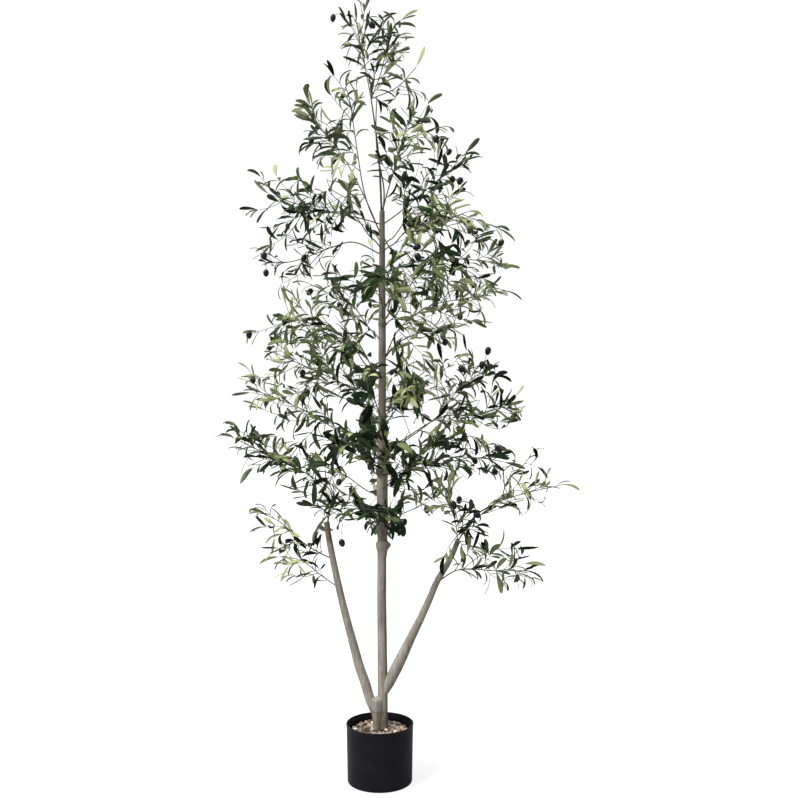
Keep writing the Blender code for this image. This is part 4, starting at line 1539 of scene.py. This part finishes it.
def to_circle(angle, middle, radius):
    """How far a circle is from the eye of the foot in one direction."""
    c, s = math.cos(angle), math.sin(angle)
    x, y = middle[0] - FOOT_EYE[0], middle[1] - FOOT_EYE[1]
    along = x * c + y * s
    return along + math.sqrt(max(0.0, radius * radius - x * x - y * y + along * along))


def make_stem():
    heights, radii = smoothed(STEM_PROFILE, 0.0021, 0.0032)
    lean_heights, leans = smoothed(STEM_LEAN, 0.0021, 0.0060)
    leans = np.interp(heights, lean_heights, leans)
    points = []
    for z, radius, lean in zip(heights, radii, leans):
        rough = rough_zones(STEM_ROUGH, z)
        fade = min(1.0, max(0.0, 1 - (z - 0.14) / 0.08))
        ring = -sum(d * math.exp(-(((z - at) / 0.0011) ** 2)) for at, d in STEM_RINGS)
        in_foot = z < SLEEVE_TOP + 0.004
        middle = FOOT_EYE if in_foot else (lean, 0.0)
        for k in range(AROUND):
            angle = math.tau * k / AROUND
            if in_foot:
                # the stem and the sleeve beside it, as one outline with a crease
                low = max(0.0, 0.17 - z) * 0.06
                stem = to_circle(angle, STEM_AT, 0.0136 + low)
                rise = max(0.0, min(1.0, (SLEEVE_TOP - z) / 0.0030)) ** 0.5
                sleeve = to_circle(angle, SLEEVE_AT, max(radius, 0.0150) - SLEEVE_LESS)
                r = stem + rise * max(0.0, sleeve - stem)
                r *= 1 + 0.035 * fade * math.cos(3 * angle)
                here = ring if sleeve > stem else 0.0
            else:
                r = radius
                here = ring
            r += relief(angle, z, rough, 3.7) * min(1.0, radius / 0.012) + here
            for place, at, size, out in STEM_KNOTS:
                if abs(z - at) < 4 * size:
                    r += knot(angle, z, place, at, size, out)
            points.append((middle[0] + r * math.cos(angle), middle[1] + r * math.sin(angle), z))
    rows = len(heights)
    top = (leans[-1], 0.0, heights[-1] + 0.0005)
    foot = (FOOT_EYE[0], FOOT_EYE[1], heights[0])
    return rows, points, top, foot


def close_tube(rows, around, points, top, foot):
    heap = Heap()
    everything = np.concatenate([np.array(points), [top], [foot]])
    here = np.arange(around)
    there = (here + 1) % around
    last = (rows - 1) * around
    cap = np.stack([last + here, last + there, np.full(around, rows * around)], -1)
    base = np.stack([there, here, np.full(around, rows * around + 1)], -1)
    heap.add(everything, [(ring_faces(rows, around), 0), (cap, 0), (base, 0)])
    return heap


def bark_material(name, lift=1.0, painted_right_shade=False):
    """Grey-beige plastic bark: fine streaks along the limb, darker rough
    stretches and collars, and pale flecks.  The stem's own also has painted
    shade down its right side in its lower part: the shade that the light from
    the left leaves there, painted into its colour."""
    material = new_material(name, (0.24, 0.22, 0.18), 0.72, 0.3)
    nodes = Nodes(material)
    streaks = nodes.noise(nodes.coords((190, 190, 11)), 1.0, 5.0, 0.6)
    patches = nodes.noise(nodes.coords((26, 26, 15)), 1.0, 4.0, 0.55)
    base = nodes.ramp(
        streaks,
        [(0.28, (0.190, 0.168, 0.138)), (0.50, (0.325, 0.296, 0.250)), (0.74, (0.460, 0.428, 0.372))],
    )
    tone = nodes.ramp(patches, [(0.30, (0.74, 0.71, 0.67)), (0.55, (1.0, 1.0, 1.0)), (0.78, (1.12, 1.10, 1.06))])
    mixed = nodes.mix(0.85, base, tone, "MULTIPLY")
    # darker stretches by height
    where = nodes.add("TexCoord")
    split = nodes.add("SeparateXYZ")
    nodes.link(where.outputs["Object"], split.inputs["Vector"])
    height = nodes.math("DIVIDE", split.outputs["Z"], 1.6)
    wobble = nodes.math("MULTIPLY", nodes.math("SUBTRACT", patches, 0.5), 0.012)
    height = nodes.math("ADD", height, wobble)
    at = lambda z: z / 1.6
    dark = nodes.ramp(
        height,
        [
            (at(0.140), (0.62, 0.57, 0.52)),
            (at(0.188), (0.72, 0.68, 0.63)),
            (at(0.200), (1.0, 1.0, 1.0)),
            (at(0.615), (1.0, 1.0, 1.0)),
            (at(0.626), (1.05, 1.03, 1.0)),
            (at(0.640), (1.0, 0.98, 0.95)),
            (at(0.648), (0.54, 0.49, 0.44)),
            (at(0.722), (0.60, 0.56, 0.52)),
            (at(0.750), (0.92, 0.92, 0.91)),
            (at(0.822), (0.95, 0.95, 0.94)),
            (at(0.834), (0.22, 0.20, 0.18)),
            (at(0.846), (0.25, 0.23, 0.21)),
            (at(0.858), (0.90, 0.89, 0.88)),
            (at(1.222), (0.86, 0.85, 0.84)),
            (at(1.235), (0.55, 0.53, 0.50)),
            (at(1.250), (0.74, 0.73, 0.71)),
            (at(1.540), (0.62, 0.60, 0.57)),
        ],
    )
    mixed = nodes.mix(1.0, mixed, dark, "MULTIPLY")
    if lift != 1.0:
        mixed = nodes.mix(1.0, mixed, (lift, lift, lift), "MULTIPLY")
    # painted shade: a dark band down the front-right side of the stem, below its collar, standing in for the shade
    # on the side away from the light
    if painted_right_shade:
        drift = nodes.math("MULTIPLY", nodes.math("SUBTRACT", split.outputs["Z"], 0.246), 0.0095)
        across = nodes.math("ADD", nodes.math("SUBTRACT", split.outputs["X"], 0.0074), drift)
        turn = nodes.math("ARCTAN2", split.outputs["Y"], across)
        turn = nodes.math("ADD", turn, nodes.math("MULTIPLY", nodes.math("SUBTRACT", patches, 0.5), 0.7))
        turn = nodes.math("DIVIDE", nodes.math("ADD", turn, 1.4), 2.8)
        side = nodes.ramp(
            turn,
            [
                (0.14, (1.0, 1.0, 1.0)),
                (0.25, (0.66, 0.62, 0.58)),
                (0.40, (0.38, 0.34, 0.31)),
                (0.53, (0.50, 0.47, 0.44)),
                (0.62, (1.0, 1.0, 1.0)),
            ],
        )
        # how strongly the painted shade shows at each height, none from the collar up
        low = nodes.ramp(
            height,
            [(at(0.15), (0.85, 0.85, 0.85)), (at(0.40), (1, 1, 1)), (at(0.60), (0.75, 0.75, 0.75)), (at(0.64), (0, 0, 0))],
        )
        mixed = nodes.mix(low, mixed, nodes.mix(1.0, mixed, side, "MULTIPLY"))
    # pale flecks and dark specks
    flecks = nodes.add("TexVoronoi")
    flecks.inputs["Scale"].default_value = 1.0
    nodes.link(nodes.coords((150, 150, 70)), flecks.inputs["Vector"])
    fleck = nodes.ramp(flecks.outputs["Distance"], [(0.10, (1, 1, 1)), (0.22, (0, 0, 0))])
    gate = nodes.ramp(nodes.noise(nodes.coords((40, 40, 18)), 1.0, 2.0), [(0.55, (0, 0, 0)), (0.66, (1, 1, 1))])
    amount = nodes.mix(1.0, fleck, gate, "MULTIPLY")
    mixed = nodes.mix(amount, mixed, (0.52, 0.50, 0.45))
    specks = nodes.ramp(
        nodes.noise(nodes.coords((240, 240, 120)), 1.0, 2.0), [(0.66, (0, 0, 0)), (0.74, (1, 1, 1))]
    )
    mixed = nodes.mix(specks, mixed, (0.085, 0.070, 0.055))
    nodes.link(mixed, nodes.shader.inputs["Base Color"])
    rough = nodes.ramp(streaks, [(0.3, (0.82, 0.82, 0.82)), (0.7, (0.60, 0.60, 0.60))])
    nodes.link(rough, nodes.shader.inputs["Roughness"])
    nodes.bump(streaks, 0.5, 0.0006)
    return material


bark = bark_material("bark", 1.08)
# the stem's bark gets the painted shade down its right side
stem_bark = bark_material("stem_bark", 1.0, True)
rows, points, top, foot = make_stem()
mesh_object("stem_bark", close_tube(rows, AROUND, points, top, foot), [stem_bark], ["trunk"])


def make_bough(name, table, zones, knots, seed, foot_inside):
    """A bough along its table, with the bark's relief."""
    ends = [(row[1], row[2], row[0]) for row in table]
    path = smooth_path([foot_inside, *ends], 0.0024)
    along = np.concatenate(
        [[0], np.cumsum(np.linalg.norm(np.diff(path, axis=0), axis=1))]
    )
    radii = np.interp(path[:, 2], [row[0] for row in table], [row[3] for row in table])
    kernel = np.hanning(13)[1:-1] / np.hanning(13)[1:-1].sum()
    radii = np.convolve(np.pad(radii, 5, "edge"), kernel, "valid")
    ways, across, up = frames_along(path)
    around = 64
    points = []
    for k, (point, radius) in enumerate(zip(path, radii)):
        rough = rough_zones(zones, point[2])
        for a in range(around):
            angle = math.tau * a / around
            r = radius + relief(angle, along[k], rough, seed) * min(1.0, radius / 0.011)
            for place, at, size, out in knots:
                if abs(point[2] - at) < 4 * size:
                    r += knot(angle, point[2], place, at, size, out)
            points.append(
                point + (across[k] * math.cos(angle) + up[k] * math.sin(angle)) * r
            )
    heap = close_tube(len(path), around, points, path[-1] + ways[-1] * 0.001, path[0])
    return mesh_object(name + "_bark", heap, [bark], [name])


make_bough(
    "bough_left",
    BOUGH_LEFT,
    ((0.15, 0.21, 0.02, 0.5), (0.40, 0.46, 0.02, 0.35), (0.60, 0.70, 0.03, 0.45)),
    ((40, 0.300, 0.008, 0.0010), (200, 0.425, 0.007, 0.0012), (90, 0.540, 0.006, 0.0010)),
    11.3,
    (-0.001, 0.004, 0.152),
)
make_bough(
    "bough_right",
    BOUGH_RIGHT,
    ((0.22, 0.29, 0.03, 0.45), (0.42, 0.47, 0.02, 0.3), (0.57, 0.66, 0.02, 0.45)),
    ((300, 0.345, 0.008, 0.0012), (120, 0.440, 0.006, 0.0010), (20, 0.560, 0.006, 0.0012)),
    23.9,
    (0.004, -0.001, 0.222),
)


# ---------------------------------------------------------------------- pot
def pot_outside(height):
    share = height / POT_HEIGHT
    return POT_BASE_RADIUS + (POT_RIM_RADIUS - POT_LIP_OUT - POT_BASE_RADIUS) * share


def make_pot():
    outline = [(POT_BASE_RADIUS - 0.012, 0.0000), (POT_BASE_RADIUS - 0.0075, 0.0)]
    middle = pot_outside(POT_FOOT_ROUND) - POT_FOOT_ROUND
    for k in range(9):
        angle = math.radians(-90 + 90 * k / 8)
        outline.append(
            (
                middle + POT_FOOT_ROUND * math.cos(angle),
                POT_FOOT_ROUND * (1 + math.sin(angle)),
            )
        )
    for k in range(1, 20):
        z = POT_FOOT_ROUND + (POT_HEIGHT - POT_LIP_DEPTH - POT_FOOT_ROUND) * k / 20
        outline.append((pot_outside(z), z))
    lip = POT_HEIGHT - POT_LIP_DEPTH
    outline += [
        (pot_outside(lip), lip - 0.0004),
        (pot_outside(lip) + 0.0003, lip + 0.0003),
        (POT_RIM_RADIUS - 0.0001, lip + 0.0012),
        (POT_RIM_RADIUS, lip + 0.0024),
        (POT_RIM_RADIUS, POT_HEIGHT - 0.0014),
        (POT_RIM_RADIUS - 0.0003, POT_HEIGHT - 0.0006),
        (POT_RIM_RADIUS - 0.0009, POT_HEIGHT - 0.0001),
        (POT_RIM_RADIUS - 0.0017, POT_HEIGHT),
    ]
    rim_in = pot_outside(POT_HEIGHT) - POT_WALL
    outline += [
        (rim_in + 0.0006, POT_HEIGHT - 0.0001),
        (rim_in + 0.0001, POT_HEIGHT - 0.0006),
        (rim_in, POT_HEIGHT - 0.0014),
    ]
    for k in range(1, 15):
        z = POT_HEIGHT - 0.0014 - (POT_HEIGHT - POT_FLOOR - 0.006) * k / 14
        outline.append((pot_outside(z) - POT_WALL, z))
    outline += [(pot_outside(POT_FLOOR) - POT_WALL - 0.004, POT_FLOOR), (0.02, POT_FLOOR)]
    around = 120
    angle = np.arange(around) * math.tau / around
    outline = np.array(outline)
    sheet = np.stack(
        [
            outline[:, :1] * np.cos(angle)[None],
            outline[:, :1] * np.sin(angle)[None],
            np.repeat(outline[:, 1:], around, 1),
        ],
        -1,
    )
    rows = len(outline)
    inner = np.array([(0, 0, POT_FLOOR)])
    base = np.array([(0, 0, 0.0)])
    points = np.concatenate([sheet.reshape(-1, 3), inner, base])
    here = np.arange(around)
    there = (here + 1) % around
    last = (rows - 1) * around
    heap = Heap()
    floor = np.stack([last + here, last + there, np.full(around, rows * around)], -1)
    under = np.stack([there, here, np.full(around, rows * around + 1)], -1)
    heap.add(points, [(ring_faces(rows, around), 0), (floor, 0), (under, 0)])
    return heap


pot_plastic = new_material("pot_plastic", (0.0066, 0.0060, 0.0094), 0.34, 0.20)
nodes = Nodes(pot_plastic)
grain = nodes.noise(nodes.coords((900, 900, 900)), 1.0, 2.0)
drift = nodes.noise(nodes.coords((14, 14, 30)), 1.0, 3.0)
nodes.link(
    nodes.ramp(drift, [(0.35, (0.0058, 0.0052, 0.0084)), (0.65, (0.0080, 0.0074, 0.0110))]),
    nodes.shader.inputs["Base Color"],
)
nodes.link(
    nodes.ramp(drift, [(0.3, (0.33, 0.33, 0.33)), (0.7, (0.41, 0.41, 0.41))]),
    nodes.shader.inputs["Roughness"],
)
nodes.bump(grain, 0.10, 0.0003)
mesh_object("pot_shell", make_pot(), [pot_plastic], ["pot"])


# ------------------------------------------------------------------- pebbles
def ball(steps):
    """Points and faces of a round mesh, made from a cube's split faces."""
    points, faces = [], []
    corners = [
        ((1, 0, 0), (0, 1, 0), (0, 0, 1)),
        ((-1, 0, 0), (0, 0, 1), (0, 1, 0)),
        ((0, 1, 0), (0, 0, 1), (1, 0, 0)),
        ((0, -1, 0), (1, 0, 0), (0, 0, 1)),
        ((0, 0, 1), (1, 0, 0), (0, 1, 0)),
        ((0, 0, -1), (0, 1, 0), (1, 0, 0)),
    ]
    index = {}
    for out, a, b in corners:
        out, a, b = Vector(out), Vector(a), Vector(b)
        grid = {}
        for i in range(steps + 1):
            for j in range(steps + 1):
                p = out + a * (2 * i / steps - 1) + b * (2 * j / steps - 1)
                p.normalize()
                key = tuple(round(v, 5) for v in p)
                if key not in index:
                    index[key] = len(points)
                    points.append(p)
                grid[i, j] = index[key]
        for i in range(steps):
            for j in range(steps):
                faces.append((grid[i, j], grid[i + 1, j], grid[i + 1, j + 1], grid[i, j + 1]))
    return np.array(points), np.array(faces)


PEBBLE_COLOURS = (
    ("pebble_cream", (0.50, 0.42, 0.34), 18),
    ("pebble_pink", (0.38, 0.270, 0.205), 24),
    ("pebble_tan", (0.22, 0.150, 0.105), 20),
    ("pebble_grey", (0.16, 0.140, 0.122), 14),
    ("pebble_brown", (0.072, 0.048, 0.034), 20),
    ("pebble_white", (0.80, 0.76, 0.71), 8),
)


def pebble_material(name, colour):
    """Sandstone with veins and specks of lighter and darker grain."""
    material = new_material(name, colour, 0.75, 0.4)
    nodes = Nodes(material)
    cloud = nodes.noise(nodes.coords((210, 210, 210)), 1.0, 4.0)
    darker = tuple(v * 0.62 for v in colour)
    lighter = tuple(min(0.9, v * 1.35) for v in colour)
    body = nodes.ramp(cloud, [(0.32, darker), (0.50, colour), (0.70, lighter)])
    speck = nodes.ramp(
        nodes.noise(nodes.coords((900, 900, 900)), 1.0, 2.0), [(0.60, (0, 0, 0)), (0.68, (1, 1, 1))]
    )
    body = nodes.mix(speck, body, tuple(v * 0.35 for v in colour))
    nodes.link(body, nodes.shader.inputs["Base Color"])
    nodes.bump(cloud, 0.35, 0.0008)
    return material


def make_pebbles():
    dice = dice_for("pebbles")
    shape, faces = ball(4)
    heap = Heap()
    weights = [share for _, _, share in PEBBLE_COLOURS]
    placed = []
    stem = 0.0185

    def drop(radius, height, apart, far):
        for _ in range(60):
            out = far * math.sqrt(dice.random())
            angle = dice.uniform(0, math.tau)
            x, y = out * math.cos(angle), out * math.sin(angle)
            if math.hypot(x - 0.0004, y) < stem + radius * 0.45:
                continue
            if all(
                math.hypot(x - px, y - py) > (radius + pr) * apart or abs(height - ph) > 0.004
                for px, py, pr, ph in placed
            ):
                placed.append((x, y, radius, height))
                return x, y
        return None

    layers = (
        # how many, size from, size to, height, how close, how far out
        (120, 0.0052, 0.0074, FILL_TOP - 0.0080, 0.62, 0.0790),
        (130, 0.0050, 0.0074, FILL_TOP - 0.0032, 0.62, FILL_RADIUS - 0.001),
        (70, 0.0040, 0.0060, FILL_TOP + 0.0004, 0.70, FILL_RADIUS - 0.006),
    )
    for count, small, large, height, apart, far in layers:
        for _ in range(count):
            radius = dice.uniform(small, large)
            spot = drop(radius, height, apart, far)
            if spot is None:
                continue
            x, y = spot
            out = math.hypot(x, y)
            sink = 0.006 * max(0.0, (out - 0.066) / 0.012) ** 2
            z = height - min(sink, 0.006) + dice.uniform(-0.0008, 0.0008)
            stretch = np.array(
                (dice.uniform(1.05, 1.45), dice.uniform(0.75, 1.05), dice.uniform(0.55, 0.85))
            )
            seed = dice.uniform(0, 90)
            bumps = np.array(
                [
                    1
                    + 0.20 * noise.noise(Vector(p) * 1.3 + Vector((seed, 0, 0)))
                    + 0.10 * noise.noise(Vector(p) * 3.1 + Vector((0, seed, 0)))
                    for p in shape
                ]
            )
            # a few flattened sides, as on broken stone
            body = shape * bumps[:, None]
            for _ in range(4):
                way = unit(np.array([dice.gauss(0, 1) for _ in range(3)]))
                over = body @ way - dice.uniform(0.62, 0.85)
                body = body - np.outer(np.maximum(over, 0), way) * 0.85
            body = body * stretch * radius
            turn = Matrix.Rotation(dice.uniform(0, math.tau), 3, "Z")
            tilt = Matrix.Rotation(dice.gauss(0, 0.35), 3, "X") @ Matrix.Rotation(
                dice.gauss(0, 0.35), 3, "Y"
            )
            body = body @ np.array(turn @ tilt).T
            reach = np.hypot(body[:, 0] + x, body[:, 1] + y).max()
            limit = pot_outside(z) - POT_WALL - 0.0004
            if reach > limit:
                x, y = x * (1 - (reach - limit) / out), y * (1 - (reach - limit) / out)
            kind = dice.choices(range(len(weights)), weights)[0]
            heap.add(body + np.array((x, y, z)), [(faces, kind)])
    # the dark bed that they lie on
    bed = len(PEBBLE_COLOURS)
    around, rings = 72, 12
    rows = []
    for r in range(1, rings + 1):
        out = (pot_outside(0.13) - POT_WALL - 0.0003) * r / rings
        for a in range(around):
            angle = math.tau * a / around
            x, y = out * math.cos(angle), out * math.sin(angle)
            z = FILL_TOP - 0.0095 + 0.0012 * noise.noise(Vector((x, y, 0.0)) * 120)
            z -= 0.002 * max(0.0, (out - 0.066) / 0.018)
            rows.append((x, y, z))
    foot = [(p[0], p[1], FILL_TOP - 0.0135) for p in rows[-around:]]
    points = np.array([*rows, *foot, (0, 0, FILL_TOP - 0.0093), (0, 0, FILL_TOP - 0.0135)])
    here = np.arange(around)
    there = (here + 1) % around
    sheet = ring_faces(rings + 1, around)
    middle = np.stack([here, there, np.full(around, (rings + 1) * around)], -1)[:, ::-1]
    last = rings * around
    under = np.stack(
        [last + here, last + there, np.full(around, (rings + 1) * around + 1)], -1
    )
    middle = middle[:, ::-1]
    heap.add(points, [(sheet[:, ::-1], bed), (middle, bed), (under[:, ::-1], bed)])
    return heap


bed_material = new_material("bed", (0.040, 0.030, 0.023), 0.9, 0.3)
nodes = Nodes(bed_material)
crumbs = nodes.noise(nodes.coords((420, 420, 420)), 1.0, 4.0)
nodes.link(
    nodes.ramp(crumbs, [(0.35, (0.018, 0.013, 0.010)), (0.65, (0.075, 0.056, 0.042))]),
    nodes.shader.inputs["Base Color"],
)
nodes.bump(crumbs, 0.6, 0.0015)
heap = make_pebbles()
pebbles = mesh_object(
    "pebble_layer",
    heap,
    [pebble_material(name, colour) for name, colour, _ in PEBBLE_COLOURS] + [bed_material],
    ["fill"],
)
print("pebbles", heap.triangles())


# ---------------------------------------------------- floor, light, camera
def add_plane(name, size, location):
    mesh = bpy.data.meshes.new(name)
    half = size / 2
    mesh.from_pydata(
        [(-half, -half, 0), (half, -half, 0), (half, half, 0), (-half, half, 0)],
        [],
        [(0, 1, 2, 3)],
    )
    obj = bpy.data.objects.new(name, mesh)
    obj.location = location
    bpy.context.scene.collection.objects.link(obj)
    return obj


floor = add_plane("floor", 80.0, (0, 0, -0.0006))
floor_paint = new_material("floor_paint", (0.28, 0.28, 0.28), 0.9, 0.0)
nodes = Nodes(floor_paint)
nodes.shader.inputs["Emission Color"].default_value = (1, 1, 1, 1)
rays = nodes.add("LightPath")
nodes.link(
    nodes.math("MULTIPLY", rays.outputs["Is Camera Ray"], 0.76),
    nodes.shader.inputs["Emission Strength"],
)
floor.data.materials.append(floor_paint)

# a soft white dome, brighter from above and from the left; what the camera sees of it is white
world = bpy.data.worlds.new("studio")
world.use_nodes = True
bpy.context.scene.world = world
tree = world.node_tree
tree.nodes.clear()
output = tree.nodes.new("ShaderNodeOutputWorld")
where = tree.nodes.new("ShaderNodeTexCoord")
split = tree.nodes.new("ShaderNodeSeparateXYZ")
spread = tree.nodes.new("ShaderNodeMapRange")
spread.inputs["From Min"].default_value = -0.8
spread.inputs["From Max"].default_value = 1.0
spread.inputs["To Min"].default_value = 0.05
spread.inputs["To Max"].default_value = 1.05
soft = tree.nodes.new("ShaderNodeBackground")
soft.inputs["Color"].default_value = (1, 1, 1, 1)
white = tree.nodes.new("ShaderNodeBackground")
white.inputs["Color"].default_value = (1, 1, 1, 1)
white.inputs["Strength"].default_value = 1.05
rays = tree.nodes.new("ShaderNodeLightPath")
choose = tree.nodes.new("ShaderNodeMixShader")
lean = tree.nodes.new("ShaderNodeMath")
lean.operation = "MULTIPLY_ADD"
lean.inputs[1].default_value = -0.75
tree.links.new(where.outputs["Generated"], split.inputs["Vector"])
tree.links.new(split.outputs["X"], lean.inputs[0])
tree.links.new(split.outputs["Z"], lean.inputs[2])
tree.links.new(lean.outputs[0], spread.inputs["Value"])
tree.links.new(spread.outputs["Result"], soft.inputs["Strength"])
tree.links.new(rays.outputs["Is Camera Ray"], choose.inputs["Fac"])
tree.links.new(soft.outputs["Background"], choose.inputs[1])
tree.links.new(white.outputs["Background"], choose.inputs[2])
tree.links.new(choose.outputs["Shader"], output.inputs["Surface"])


def add_sun(name, come_from, strength, softness):
    data = bpy.data.lights.new(name, "SUN")
    data.energy = strength
    data.angle = math.radians(softness)
    obj = bpy.data.objects.new(name, data)
    obj.rotation_euler = Vector(come_from).to_track_quat("Z", "Y").to_euler()
    bpy.context.scene.collection.objects.link(obj)
    return obj


add_sun("key", (-1.15, -0.85, 1.75), 2.9, 28)
add_sun("fill", (1.0, 1.3, 1.4), 0.3, 60)

camera_data = bpy.data.cameras.new("camera")
camera_data.sensor_width = SENSOR
camera_data.lens = FOCAL / FRAME_SIDE * SENSOR
camera_data.clip_start = 0.05
camera_data.clip_end = 200
camera = bpy.data.objects.new("camera", camera_data)
camera.location = EYE
camera.rotation_euler = (math.radians(90), 0, 0)
bpy.context.scene.collection.objects.link(camera)
bpy.context.scene.camera = camera
bpy.context.scene.view_settings.view_transform = "Standard"
bpy.context.scene.view_settings.look = "None"
bpy.context.scene.cycles.max_bounces = 6
bpy.context.scene.cycles.diffuse_bounces = 3
bpy.context.scene.cycles.glossy_bounces = 3
